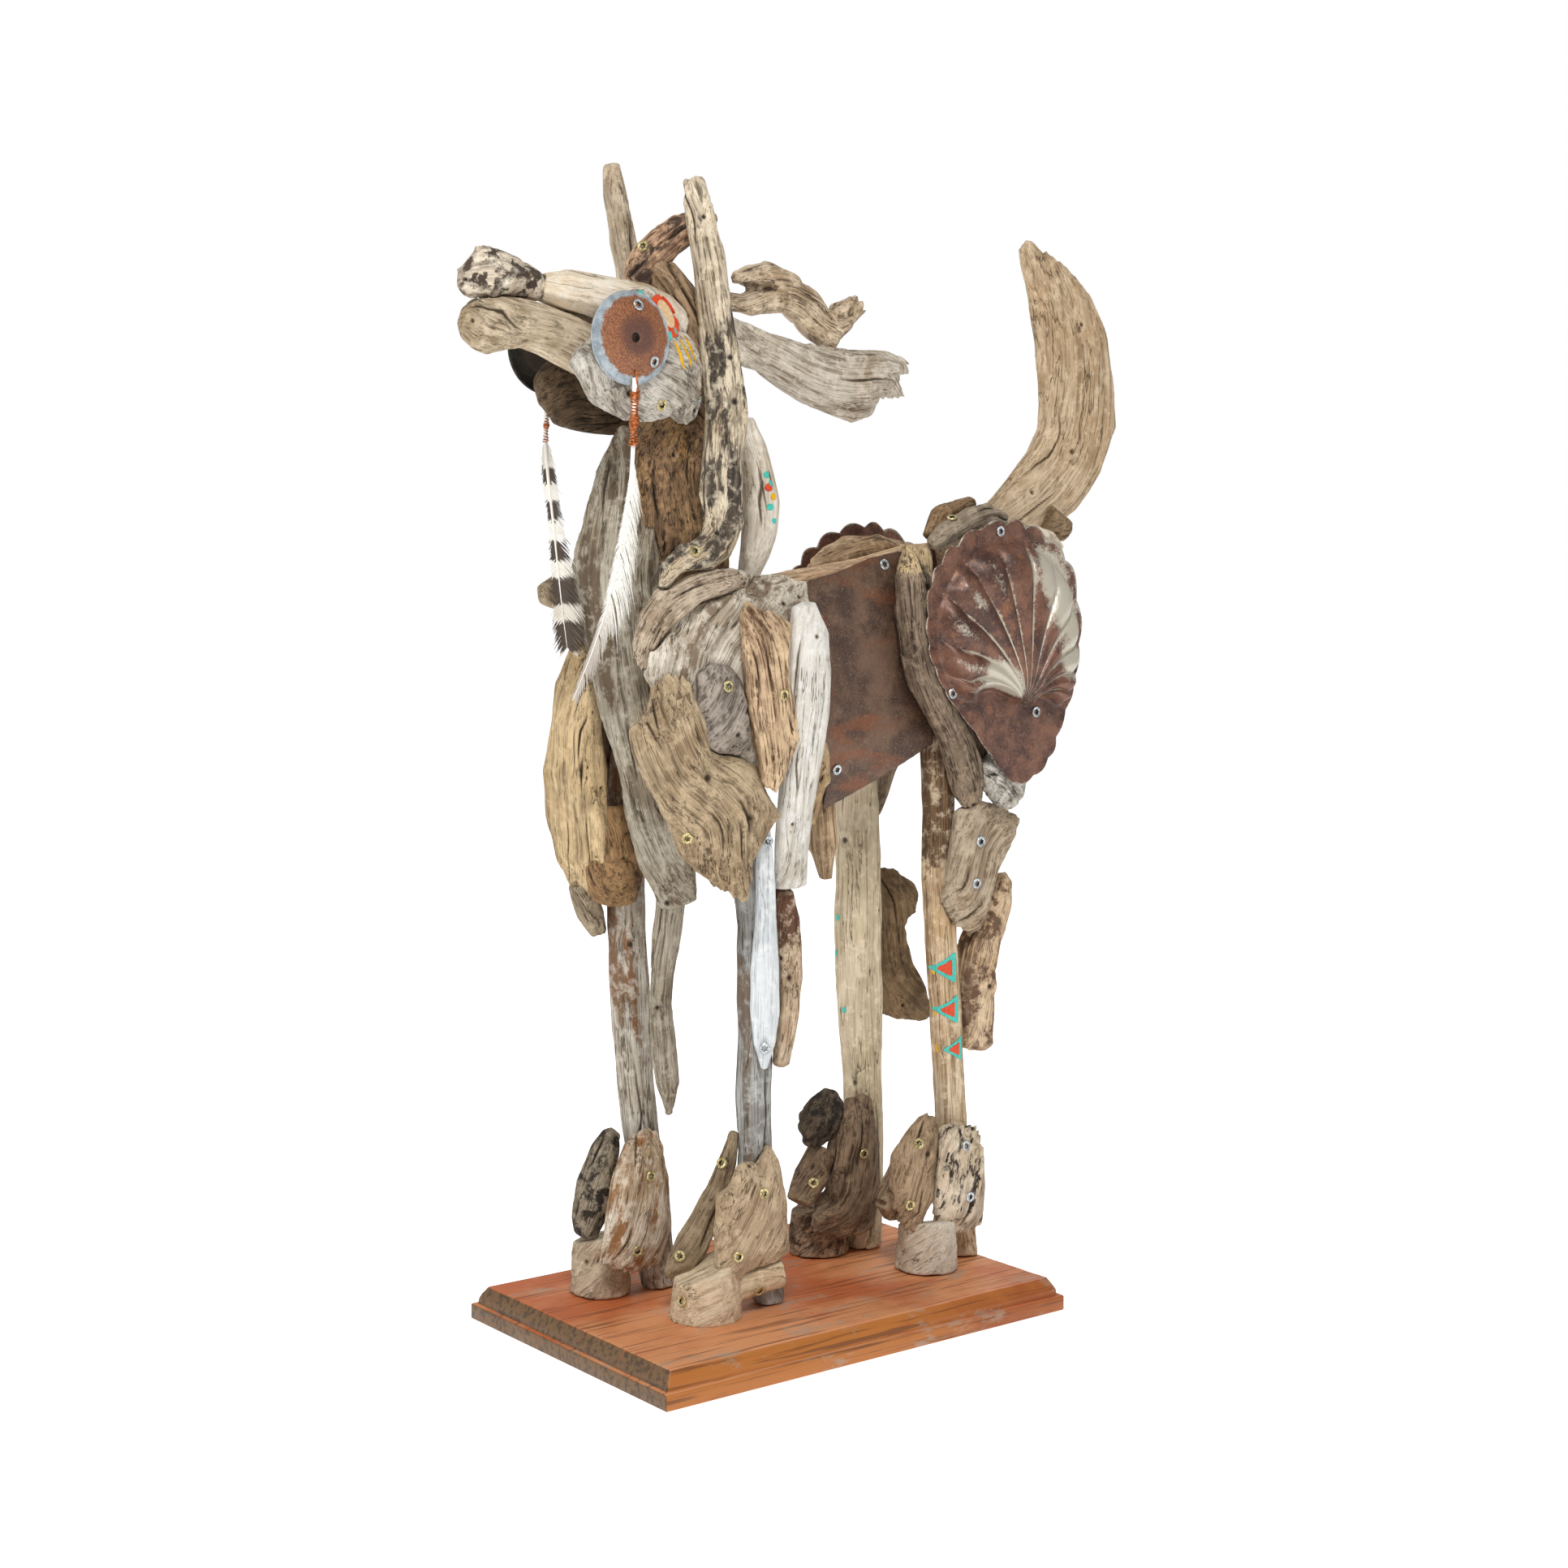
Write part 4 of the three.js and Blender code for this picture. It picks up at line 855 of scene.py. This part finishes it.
pan_rust = Finish("pan_finish")
enamel = pan_rust.add("ShaderNodeAttribute", "Fac", attribute_name="enamel")
grit = pan_rust.noise(520, 4, 0.75)
cloud = pan_rust.noise(34, 6, 0.7, 2)
bloom = pan_rust.noise(90, 4, 0.7, 6)
colour = pan_rust.mix(pan_rust.ease(cloud, 0.38, 0.62), "4A322B", "7C5645")
colour = pan_rust.mix(pan_rust.ease(bloom, 0.54, 0.68, 0.6), colour, "8F5B36")
colour = pan_rust.mix(pan_rust.ease(grit, 0.56, 0.66, 0.6), colour, "9C7A5E")
mixed = pan_rust.math("ADD", enamel, pan_rust.swing(grit, 1.1))
mixed = pan_rust.math("ADD", mixed, pan_rust.swing(bloom, 1.0))
is_enamel = pan_rust.ease(mixed, 0.42, 0.85, 0.85)
colour = pan_rust.mix(is_enamel, colour, "CCC6B5")
pan_rust.coat(colour, pan_rust.scaled(is_enamel, 0.4, 0.25), 0.25)
pan_rust.relief(pan_rust.math("ADD", grit, bloom), 0.35)


def pan(name, node, side, seed):
    low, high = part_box(node)
    base = low.x if side > 0 else high.x
    shift = (low.y + high.y) / 2 - (PAN_HUB[0] - 15) * MM
    rim = curve(PAN_RIM, np.arange(PAN_SPOKES) / PAN_SPOKES * len(PAN_RIM))
    shape = bmesh.new()
    bmesh.ops.create_grid(shape, x_segments=PAN_SPOKES, y_segments=PAN_RINGS, size=0.5)
    sheet = object_from(name, shape)
    flat = corners_of(sheet.data)
    spoke = np.round((flat[:, 0] + 0.5) * PAN_SPOKES).astype(int) % PAN_SPOKES
    share = flat[:, 1] + 0.5
    scallop = np.abs(np.sin(math.pi * spoke / PAN_SPOKES * PAN_SCALLOPS))
    reach = 1 + 0.034 * (scallop - 0.7) * np.clip((share - 0.8) / 0.2, 0, 1)
    y, z = (rim[spoke] * (share * reach)[:, None]).T
    turn = np.arctan2(z, -y) / math.pi
    turn = np.where(turn < -0.5, turn + 2, turn)
    spread = 0.62 + 0.38 * np.clip(share / 0.7, 0, 1)
    fan = (turn - 0.5) / spread + 0.5
    fan = (fan - PAN_FAN[0]) / (PAN_FAN[1] - PAN_FAN[0])
    inside = np.clip(fan * 14, 0, 1) * np.clip((1 - fan) * 14, 0, 1)
    inside = inside * inside * (3 - 2 * inside)
    run = np.clip(share / PAN_FLANGE, 0, 1)
    dome = 1 - (2 * run ** 0.9 - 1) ** 6
    groove = np.abs(np.sin(math.pi * fan * PAN_FLUTES)) ** 0.8
    flute = PAN_FLUTE_RISE * (groove - 0.7) * np.clip(share * 1.6, 0.12, 1)
    height = inside * (PAN_DOME * dome + flute * np.clip((PAN_FLANGE - share) / 0.05, 0, 1))
    height += 0.9 * np.clip((share - PAN_FLANGE) / 0.1, 0, 1) * (scallop - 0.5)
    height += 0.12 * noise(np.stack([y, z, 0 * y], axis=1) / 2.6, seed)
    points = np.stack([
        base + side * (height + 1.5) * MM, PAN_HUB[0] * MM + shift + y * MM, PAN_HUB[1] * MM + z * MM,
    ], axis=1)
    move_to(sheet.data, points)
    cover = sum(np.exp(-((y - a) ** 2 + (z - b) ** 2) / (2 * r * r)) for a, b, r in ENAMEL)
    lines = np.exp(-(groove / 0.36) ** 2) * inside * np.clip(1.25 - share, 0, 1)
    # Pale speckle on the flute crests towards the left ends: chipped enamel, and partly a painted
    # highlight standing in for glints.
    chips_and_glints = np.exp(-((share - 0.72) / 0.14) ** 2) * (turn < 0.46) * groove ** 3 * inside
    lip = np.clip((share - 0.975) / 0.025, 0, 1)
    coated = 1.3 * cover * inside * (0.5 + 0.6 * groove) + 1.1 * lines + 0.65 * chips_and_glints + 0.6 * lip
    store(sheet.data, "enamel", "FLOAT", "value", np.clip(coated, 0, 1.2))
    joined = bmesh.new()
    joined.from_mesh(sheet.data)
    bmesh.ops.remove_doubles(joined, verts=joined.verts, dist=0.02 * MM)
    faced_out(joined, side)
    joined.to_mesh(sheet.data)
    joined.free()
    thicken(sheet, PAN_WALL)
    settle(sheet)
    fix(sheet, pan_rust, "enamelled_pan", node)


pan("pan_left", "shell_left", 1, 31)
pan("pan_right", "shell_right", -1, 32)


# Side sheet
# A sheet of rusted steel bent over the left side of the trunk, its back edge tucked behind the
# thigh, and held by two zinc screws.

SHEET_OUTLINE = (
    (-2, 661), (30, 668), (70, 681), (104, 687), (150, 690), (152, 600), (146, 514), (90, 487),
    (29, 459), (25, 494), (13, 529),
)
SHEET_WALL = 1.4 * MM
SHEET_DICE = 5 * MM

low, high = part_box("side_plate")
shape = bmesh.new()
edge = [shape.verts.new((high.x - SHEET_WALL / 2, y * MM, z * MM)) for y, z in SHEET_OUTLINE]
shape.faces.new(edge)
diced(shape, SHEET_DICE, low, high, (1, 2))
sheet = object_from("side_sheet", shape)
points = corners_of(sheet.data)
y, z = points[:, 1], points[:, 2]
bend = 3.0 * MM * noise(np.stack([y * 0, y / 0.09, z / 0.11], axis=1), 71)
fold = -26 * MM * np.clip((z - 0.655) / 0.04, 0, 1) ** 2 * 0.3
tuck = -16 * MM * np.clip((0.53 - z) / 0.07, 0, 1) ** 2
points[:, 0] += bend + fold + tuck
move_to(sheet.data, points)
thicken(sheet, SHEET_WALL, 0)
smooth = sheet.modifiers.new("smooth", "SUBSURF")
smooth.levels = 1
smooth.render_levels = 1
settle(sheet)

rust = Finish("sheet_rust")
grit = rust.noise(600, 4, 0.75)
band = rust.noise((12, 12, 40), 6, 0.65)
cloud = rust.noise(30, 6, 0.7, 4)
colour = rust.mix(rust.ease(cloud, 0.36, 0.64), "463329", "705644")
colour = rust.mix(rust.ease(band, 0.52, 0.66, 0.7), colour, "7E4A2C")
colour = rust.mix(rust.ease(grit, 0.54, 0.66, 0.5), colour, "A08470")
rust.coat(colour, 0.42, 0.3)
rust.relief(rust.math("ADD", grit, cloud), 0.3)
fix(sheet, rust, "rusted_sheet", "side_plate")


# Eyes
# Two round dished steel discs with a hole in the middle; the second hole, at the edge for a wire,
# is not cut here. The left one has a galvanised rim round a rusted middle; the right one is rusted all
# over.

EYE_PROFILE = ((4.6, 7.6), (5.4, 8.2), (17, 7.2), (26, 4.2), (33, 1.4), (36.6, 0.3), (38, 0.9))
EYE_WALL = 1.5 * MM
EYE_STEPS = 96


def eye(name, node, side, finish, slot):
    low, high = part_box(node)
    middle = (low + high) / 2
    base = low.x if side > 0 else high.x
    shape = bmesh.new()
    line = [shape.verts.new((side * rise * MM, 0, r * MM)) for r, rise in EYE_PROFILE]
    chain = [shape.edges.new(pair) for pair in zip(line, line[1:])]
    bmesh.ops.spin(
        shape, geom=line + chain, cent=(0, 0, 0), axis=(1, 0, 0), angle=math.tau, steps=EYE_STEPS,
        use_merge=True, use_duplicate=False)
    bmesh.ops.translate(shape, vec=(base + side * 1.2 * MM, middle.y, middle.z), verts=shape.verts)
    faced_out(shape, side)
    disc = object_from(name, shape)
    thicken(disc, EYE_WALL, 1)
    soft = disc.modifiers.new("soft", "BEVEL")
    soft.width = 0.3 * MM
    soft.segments = 2
    soft.limit_method = "ANGLE"
    settle(disc)
    fix(disc, finish, slot, node)


def disc_finish(name, centre, reach, plate, rust, core):
    """Steel with a coating in two tones, rusted out to `reach` metres from a place."""
    disc = Finish(name)
    gap = disc.add(
        "ShaderNodeVectorMath", "Value", {0: disc.spot, 1: centre}, operation="DISTANCE")
    grit = disc.noise(700, 4, 0.75)
    cloud = disc.noise(120, 5, 0.7)
    ragged = disc.math("ADD", gap, disc.swing(cloud, 0.009))
    colour = disc.mix(disc.ease(grit, 0.42, 0.62), *rust)
    colour = disc.mix(disc.ease(ragged, 0.022, 0.012, 0.75), colour, core)
    is_plate = disc.ease(ragged, reach - 0.0009, reach + 0.0009)
    colour = disc.mix(is_plate, colour, disc.mix(disc.ease(cloud, 0.4, 0.6), *plate))
    disc.coat(colour, 0.5, disc.scaled(is_plate, 0.05, 0.5))
    disc.relief(disc.math("ADD", grit, cloud), 0.3)
    return disc


low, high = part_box("eye_disc_left")
eye("eye_left", "eye_disc_left", 1, disc_finish(
    "eye_left_finish", (low + high) / 2 + Vector((0, 2.5, 1.5)) * MM, 0.0325,
    ("8F9AA1", "B4BDC2"), ("74442C", "A8714C"), "503632"), "galvanised_disc")
low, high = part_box("eye_disc_right")
eye("eye_right", "eye_disc_right", -1, disc_finish(
    "eye_right_finish", (low + high) / 2, 0.02,
    ("2B2B28", "43403A"), ("3A2E27", "54453A"), "2A211C"), "rusted_sheet")


# Feathers
# A narrow white feather on the left and a barred one on the right. Each is a tapered quill with
# a row of fine barbs down both sides, which lie over each other and part in places.

ACROSS = Vector((0.6, 0.8, 0.0))
BARBS = 230
BARB_WIDTH = 1.9 * MM
BARB_WALL = 0.22 * MM


def smooth_path(points, count):
    """Evenly numbered points on a smooth curve through a few places."""
    points = np.array(points, float)
    padded = np.concatenate([[2 * points[0] - points[1]], points, [2 * points[-1] - points[-2]]])
    return curve(padded, 1 + np.linspace(0, len(points) - 1 - 1e-9, count))


def tube(name, path, radii):
    """A round rod of changing thickness along a path, closed at both ends."""
    data = bpy.data.curves.new(name, "CURVE")
    data.dimensions = "3D"
    line = data.splines.new("POLY")
    line.points.add(len(path) - 1)
    for spot, place, radius in zip(line.points, path, radii):
        spot.co = (*place, 1)
        spot.radius = radius
    data.bevel_depth = 1.0
    data.bevel_resolution = 2
    data.use_fill_caps = True
    holder = new_object(name, data)
    graph = bpy.context.evaluated_depsgraph_get()
    mesh = bpy.data.meshes.new_from_object(holder.evaluated_get(graph))
    bpy.data.objects.remove(holder)
    return new_object(name, mesh)


def feather(name, node, spine, vane_from, right, left, bars, slope, finishes, slot, seed):
    """`right` and `left` give the barbs' length in mm at shares of the vane, `bars` its dark bands,
    and `slope` how steeply the barbs run down it."""
    maker = np.random.default_rng(seed)
    path = smooth_path(spine, 60) * MM
    vane_length = np.linalg.norm(np.diff(path, axis=0), axis=1).sum() * (1 - vane_from)
    radii = np.interp(np.linspace(0, 1, 60), (0, vane_from, 0.6, 1), (2.2, 1.8, 0.8, 0.25)) * MM
    quill = tube(name + "_quill", path, radii)
    fix(quill, finishes[0], slot)
    shape = bmesh.new()
    shade = []
    for side, lengths in ((1, right), (-1, left)):
        shares, reach = zip(*lengths)
        skip = 0
        for k in range(BARBS):
            share = k / (BARBS - 1)
            if skip > 0:
                skip -= 1
                continue
            if maker.random() < 0.03:
                skip = int(maker.integers(1, 4))
            t = vane_from + (0.985 - vane_from) * share
            at = t * 59
            i = min(int(at), 58)
            root = Vector(path[i] + (path[i + 1] - path[i]) * (at - i))
            down = Vector(path[i + 1] - path[i]).normalized()
            length = np.interp(share, shares, reach) * MM * maker.uniform(0.86, 1.08)
            lean = slope * maker.uniform(0.85, 1.15)
            lift = Vector((0.8, -0.6, 0)) * maker.uniform(-0.1, 0.25) * length
            if maker.random() < 0.06:
                length *= 1.3
            uneven = maker.normal(0, 0.005)
            edge = []
            for step in range(7):
                f = step / 6
                place = root + ACROSS * side * length * f + down * length * lean * f * (0.9 + 0.5 * f)
                place += lift * f * f
                half = BARB_WIDTH * (1 - 0.75 * f ** 2) / 2
                level = share + length * lean * f * (0.9 + 0.5 * f) / vane_length + uneven
                dark = any(a <= level <= b for a, b in bars)
                edge.append([shape.verts.new(place + down * half * s) for s in (-1, 1)])
                shade += [(float(dark), f, share)] * 2
            for (a, b), (c, d) in zip(edge, edge[1:]):
                shape.faces.new((a, b, d, c) if side > 0 else (a, c, d, b))
    vane = object_from(name + "_vane", shape)
    store(vane.data, "shade", "FLOAT_VECTOR", "vector", np.array(shade))
    thicken(vane, BARB_WALL)
    settle(vane)
    fix(vane, finishes[1], slot, node)


def feather_finishes(name, light, dark, edge):
    quill = Finish(name + "_quill")
    quill.coat(light, 0.4)
    vane = Finish(name + "_vane")
    shade = vane.add("ShaderNodeAttribute", "Vector", attribute_name="shade")
    parts = vane.add("ShaderNodeSeparateXYZ", inputs={"Vector": shade}).node.outputs
    wisp = vane.noise((700, 700, 300), 3)
    colour = vane.mix(vane.ease(wisp, 0.2, 0.5), edge, light)
    colour = vane.mix(vane.ease(parts["Z"], 0.55, 0.85, 0.8), colour, edge)
    vane.coat(vane.mix(parts["X"], colour, dark), 0.7, more={"Sheen Weight": 0.2})
    return quill, vane


feather(
    "feather_white", "feather_left",
    ((68, -187, 824), (67, -188, 776), (66, -190, 742), (66, -198, 700), (66, -209, 656),
     (66, -225, 612), (66, -247, 566)),
    0.25, ((0, 2), (0.08, 9), (0.3, 14), (0.45, 18), (0.6, 15), (0.66, 9), (0.85, 8), (1, 4)),
    ((0, 1), (0.2, 2.5), (0.45, 4), (0.6, 3), (0.8, 3), (1, 2)), (), 1.7,
    feather_finishes("white_feather", "F8F6EF", "8B7A6C", "B4A698"), "white_feather", 5)
feather(
    "feather_barred", "feather_right",
    ((-66, -186, 816), (-66, -188, 784), (-60, -190, 752), (-46, -194, 712), (-33, -198, 675),
     (-25, -199, 640), (-20, -197, 603)),
    0.2, ((0, 4), (0.12, 7), (0.35, 8), (0.55, 13), (0.72, 18), (0.9, 15), (1, 7)),
    ((0, 3), (0.1, 5), (0.4, 4), (0.7, 7), (0.85, 10), (1, 7)),
    ((0.14, 0.22), (0.3, 0.39), (0.48, 0.58), (0.66, 0.8), (0.88, 1.03)), 0.9,
    feather_finishes("barred_feather", "F3EFE5", "4E4036", "DDD3C5"), "barred_feather", 6)


# Wire
# Each feather's quill is bound with soft copper wire, whose end loops where the small hole at
# the bottom of its eye disc would be; the hole itself is not cut.

def metal(name, first, second, metallic=0.6, rough=0.35, scale=500, low=0.42):
    """Bare or plated metal, clouded in two tones."""
    made = Finish(name)
    made.coat(made.mix(made.ease(made.noise(scale, 3), low, 0.62), first, second), rough, metallic)
    return made


def binding(name, hook, top, bottom, turns, reach, thick, finish, seed):
    """Wire wound round a quill from `top` to `bottom`, with its end hooked up through `hook`."""
    maker = np.random.default_rng(seed)
    hook, top, bottom = (Vector(p) * MM for p in (hook, top, bottom))
    coil = []
    count = turns * 12
    for k in range(count + 1):
        f = k / count
        turn = math.tau * turns * f
        drift = 1.6 * math.sin(11 * f) + maker.normal(0, 0.15)
        r = (reach + 0.2 * reach * math.sin(13 * f + 1) + maker.normal(0, 0.08)) * MM
        middle = top.lerp(bottom, f ** 0.85) + Vector((0, 0, drift * MM))
        coil.append(middle + Vector((r * math.cos(turn), r * math.sin(turn), 0)))
    side = 1 if hook.x > 0 else -1
    loop = [
        top + Vector((0, 2 * MM, 0)), hook + Vector((side * 3.2 * MM, 0, -2 * MM)),
        hook + Vector((side * 2.6 * MM, 0, 2.4 * MM)), hook + Vector((-side * 0.5 * MM, 0, 3.0 * MM)),
        hook + Vector((-side * 3.4 * MM, 0, 1 * MM)), hook + Vector((-side * 3.6 * MM, 0, -4 * MM)),
        hook + Vector((-side * 1.0 * MM, 0, -8 * MM)), coil[0],
    ]
    path = smooth_path([tuple(p) for p in loop], 60)
    path = np.concatenate([path[:-1], [tuple(p) for p in coil]])
    wire = tube(name, path, [thick * MM / 2] * len(path))
    fix(wire, finish, "copper_wire")


binding("wire_left", (68, -187, 826), (67, -186, 814), (67, -188, 772), 24, 2.9, 1.9,
        metal("copper", "8A4520", "CC7A42", scale=400, low=0.4), 8)
binding("wire_right", (-68, -186, 827), (-66, -186, 812), (-66, -188, 780), 17, 1.9, 1.1,
        metal("dull_copper", "8A4520", "CC7A42", 0.4, 0.55, 400, 0.4), 9)


# Screws
# Countersunk wood screws with a star recess, brass-plated in the wood and zinc-plated in the
# metal, driven in until their heads rest on the surface.

HEAD_WIDTH = 9.6
HEAD_SIDES = 24
HEAD_DEPTH = 1.6
BRASS_AT = {
    "forelock_wood": ((13, -141, 938),),
    "neck_branch_wood": ((78, -136, 685),),
    "cheek_left_wood": ((58, -155, 805),),
    "shoulder_plank_wood": ((102, -120, 575),),
    "shoulder_stripe_wood": ((111, -70, 567),),
    "elbow_slab_wood": ((94, -155, 452),),
    "pastern_fore_right_slab_wood": ((-11, -122, 144), (-12, -136, 80)),
    "pastern_fore_left_stick_wood": ((39, -81, 159), (34, -122, 83)),
    "pastern_fore_left_slab_wood": ((78, -66, 138), (78, -92, 87)),
    "hoof_fore_left_wood": ((53, -128, 50), (67, -64, 52)),
    "pastern_hind_right_slab_wood": ((1, 108, 132),),
    "pastern_hind_right_wedge": ((-12, 62, 108),),
    "pastern_hind_left_slab_wood": ((71, 116, 153), (72, 105, 98)),
    "thigh_left_wood": ((74, 112, 640),),
    "rump_strip_wood": ((66, 156, 716),),
}
ZINC_AT = {
    "eye_left": ((68, -184, 882), (68, -169, 838)),
    "cheek_left_wood": ((50, -113, 809),),
    "elbow_slat_wood": ((74, -61, 263), (90, -70, 443)),
    "hock_slab_left_wood": ((74, 185, 424), (74, 180, 386)),
    "pastern_hind_left_birch_wood": ((78, 166, 145), (79, 171, 97)),
    "side_sheet": ((56, 85, 675), (56, 34, 496)),
    "pan_left": ((93, 194, 705), (94, 138, 561), (100, 240, 541)),
    "pan_right": ((-93, 194, 700), (-94, 225, 541)),
    "eye_right": ((-68, -184, 882),),
}
SHEETS = ("eye_left", "eye_right", "side_sheet", "pan_left", "pan_right")

surfaces = {}


def nearest(piece_name, place):
    """The closest point of a finished piece to a place in millimetres, and its facing there."""
    if piece_name not in surfaces:
        graph = bpy.context.evaluated_depsgraph_get()
        surfaces[piece_name] = BVHTree.FromObject(bpy.data.objects[piece_name], graph)
    tree = surfaces[piece_name]
    spot, facing, _, _ = tree.find_nearest(Vector(place) * MM)
    return spot, facing


def steady_facing(piece_name, place, reach=5):
    """The way the surface faces round a place, evened out over a few millimetres."""
    total = Vector()
    for x, y, z in itertools.product((-reach, 0, reach), repeat=3):
        total += nearest(piece_name, (place[0] + x, place[1] + y, place[2] + z))[1]
    return total.normalized()


def screws(name, places, finish, recess_shade, slot):
    shape = bmesh.new()
    for piece_name, place in ((piece, place) for piece, spots in places.items() for place in spots):
        spot, _ = nearest(piece_name, place)
        facing = steady_facing(piece_name, place)
        if piece_name in SHEETS:
            facing = Vector((math.copysign(1, place[0]), 0, 0))
            hit = surfaces[piece_name].ray_cast(Vector(place) * MM + 60 * MM * facing, -facing)
            spot, facing = hit[0], hit[1]
        head = bmesh.new()
        bmesh.ops.create_cone(
            head, cap_ends=True, segments=HEAD_SIDES, radius1=HEAD_WIDTH / 2 * 0.8,
            radius2=HEAD_WIDTH / 2, depth=HEAD_DEPTH)
        top = max(head.faces, key=lambda f: f.calc_center_median().z)
        bmesh.ops.inset_region(head, faces=[top], thickness=0.5, depth=0.45)
        bmesh.ops.inset_region(head, faces=[top], thickness=1.5, depth=-0.35)
        for k, corner in enumerate(top.verts):
            if (k // 2) % 2:
                corner.co.x *= 0.76
                corner.co.y *= 0.76
        # The recess walls and floor take the second material, near-black: painted shade.
        walls = bmesh.ops.inset_region(head, faces=[top], thickness=0.15, depth=-1.6)["faces"]
        for face in [top, *walls]:
            face.material_index = 1
        turn = facing.to_track_quat("Z", "Y").to_matrix().to_4x4()
        bmesh.ops.transform(
            head, matrix=Matrix.Translation(spot + facing * 0.6 * MM) @ turn @ Matrix.Scale(MM, 4),
            verts=head.verts)
        mesh = bpy.data.meshes.new("head")
        head.to_mesh(mesh)
        head.free()
        shape.from_mesh(mesh)
        bpy.data.meshes.remove(mesh)
    piece = object_from(name, shape)
    fix(piece, finish, slot)
    piece.data.materials.append(recess_shade.material)
    for face in piece.data.polygons:
        face.use_smooth = False


# Each screw's second material is a near-black painted shade for its star recess.
screws("brass_screws", BRASS_AT, metal("brass", "DDD09C", "A08C50"),
       metal("brass_recess_shade", "3A3218", "1E1A0E", 0.3), "brass_screw")
screws("zinc_screws", ZINC_AT, metal("zinc", "D4DADD", "98A0A4"),
       metal("zinc_recess_shade", "3A3E40", "1E2022", 0.3), "zinc_screw")


# Painted marks
# Dabs, rings and strokes of thick acrylic in orange, turquoise, yellow and cream: round the
# left eye, on the back of the neck, and down the left sides of both hind legs.

PAINT_LIFT = 0.3 * MM
PAINT_WALL = 0.25 * MM


def paint_finish(name, code):
    made = Finish(name)
    wear = made.noise(420)
    shade = (*(0.72 * c for c in tone(code)[:3]), 1)
    made.coat(made.mix(made.ease(wear, 0.35, 0.7), code, shade), 0.5)
    made.relief(wear, 0.2, 0.4)
    return made


PAINT_TONES = {"orange": "E2491C", "turquoise": "45C9B9", "yellow": "EDB50E", "cream": "EBC79A"}
PAINTS = {name: paint_finish(name + "_paint", code) for name, code in PAINT_TONES.items()}


def oval(width, height, turn=0.0, count=20):
    """The outline of an oval dab, in millimetres."""
    lean = math.radians(turn)
    ring = [(width / 2 * math.cos(math.tau * k / count), height / 2 * math.sin(math.tau * k / count))
            for k in range(count)]
    return [(a * math.cos(lean) - b * math.sin(lean), a * math.sin(lean) + b * math.cos(lean))
            for a, b in ring]


def daub(name, piece_name, place, outline, paint, layers=1):
    """Paint laid on a piece: an outline in mm round a place, across and up, pressed onto the wood."""
    spot, _ = nearest(piece_name, place)
    facing = steady_facing(piece_name, place)
    up = (Vector((0, 0, 1)) - facing * facing.z).normalized()
    across = up.cross(facing)
    shape = bmesh.new()
    ring = [shape.verts.new((a * MM, b * MM, 0)) for a, b in outline]
    shape.faces.new(ring)
    size = max(max(abs(a), abs(b)) for a, b in outline)
    diced(shape, 0.7 * MM, (-size * MM - 0.31 * MM,) * 2, (size * MM,) * 2, (0, 1))
    for corner in shape.verts:
        start = spot + across * corner.co.x + up * corner.co.y + facing * 12 * MM
        hit, _, _, _ = surfaces[piece_name].ray_cast(start, -facing)
        if hit is None:
            hit = start - facing * 12 * MM
        corner.co = hit + facing * PAINT_LIFT * layers
    piece = object_from(name, shape)
    thicken(piece, PAINT_WALL)
    settle(piece)
    fix(piece, PAINTS[paint], "paint_marks")


def wedge(width, height):
    """A triangle that points forward, with its corners rubbed off."""
    tip, front, back, half = -0.55 * width, 0.38 * width, 0.45 * width, height / 2
    return [(tip, -1), (tip, 1), (front, half), (back, half - 1.5), (back, 1.5 - half), (front, -half)]


LEG = "hindleg_left_wood"
for k, (place, mark, size) in enumerate((
        ((56, 161, 307), (45, 155, 305), 28), ((56, 165, 268), (44, 157, 266), 26),
        ((56, 172, 231), (45, 160, 231), 22))):
    daub(f"leg_wedge_edge_{k + 1}", LEG, place, wedge(size * 0.85, size), "turquoise")
    daub(f"leg_wedge_{k + 1}", LEG, place, wedge(size * 0.5, size * 0.55), "orange", 2)
    daub(f"leg_dash_{k + 1}", LEG, mark, oval(5, 9, 15), "yellow")
for k, place in enumerate(((-42, 114, 347), (-47, 114, 313), (-37, 117, 260))):
    daub(f"far_leg_dot_{k + 1}", "hindleg_right_wood", place, oval(5, 6), "turquoise")
for k, (y, z, size, paint) in enumerate((
        (-30, 752, 6, "turquoise"), (-29, 741, 7, "orange"), (-25, 733, 6, "yellow"),
        (-28, 724, 6, "turquoise"), (-26, 712, 5, "turquoise"), (-24, 745, 6, "turquoise"))):
    daub(f"neck_dot_{k + 1}", "neck_back_wood", (39, y, z), oval(size, size), paint)
CHEEK = "cheek_left_wood"
daub("eye_ring", CHEEK, (57, -146, 878), oval(30, 38, 25), "orange")
daub("eye_oval", CHEEK, (57, -145, 880), oval(17, 25, 25), "cream", 2)
for k, place in enumerate(((52, -169, 894), (59, -146, 861), (55, -137, 866))):
    daub(f"eye_dab_{k + 1}", CHEEK, place, oval(6, 7), "turquoise")
for k, place in enumerate(((58, -136, 846), (57, -129, 848), (54, -122, 852))):
    daub(f"eye_stroke_{k + 1}", CHEEK, place, oval(3.2, 25, 24), "yellow")


bpy.context.view_layer.update()
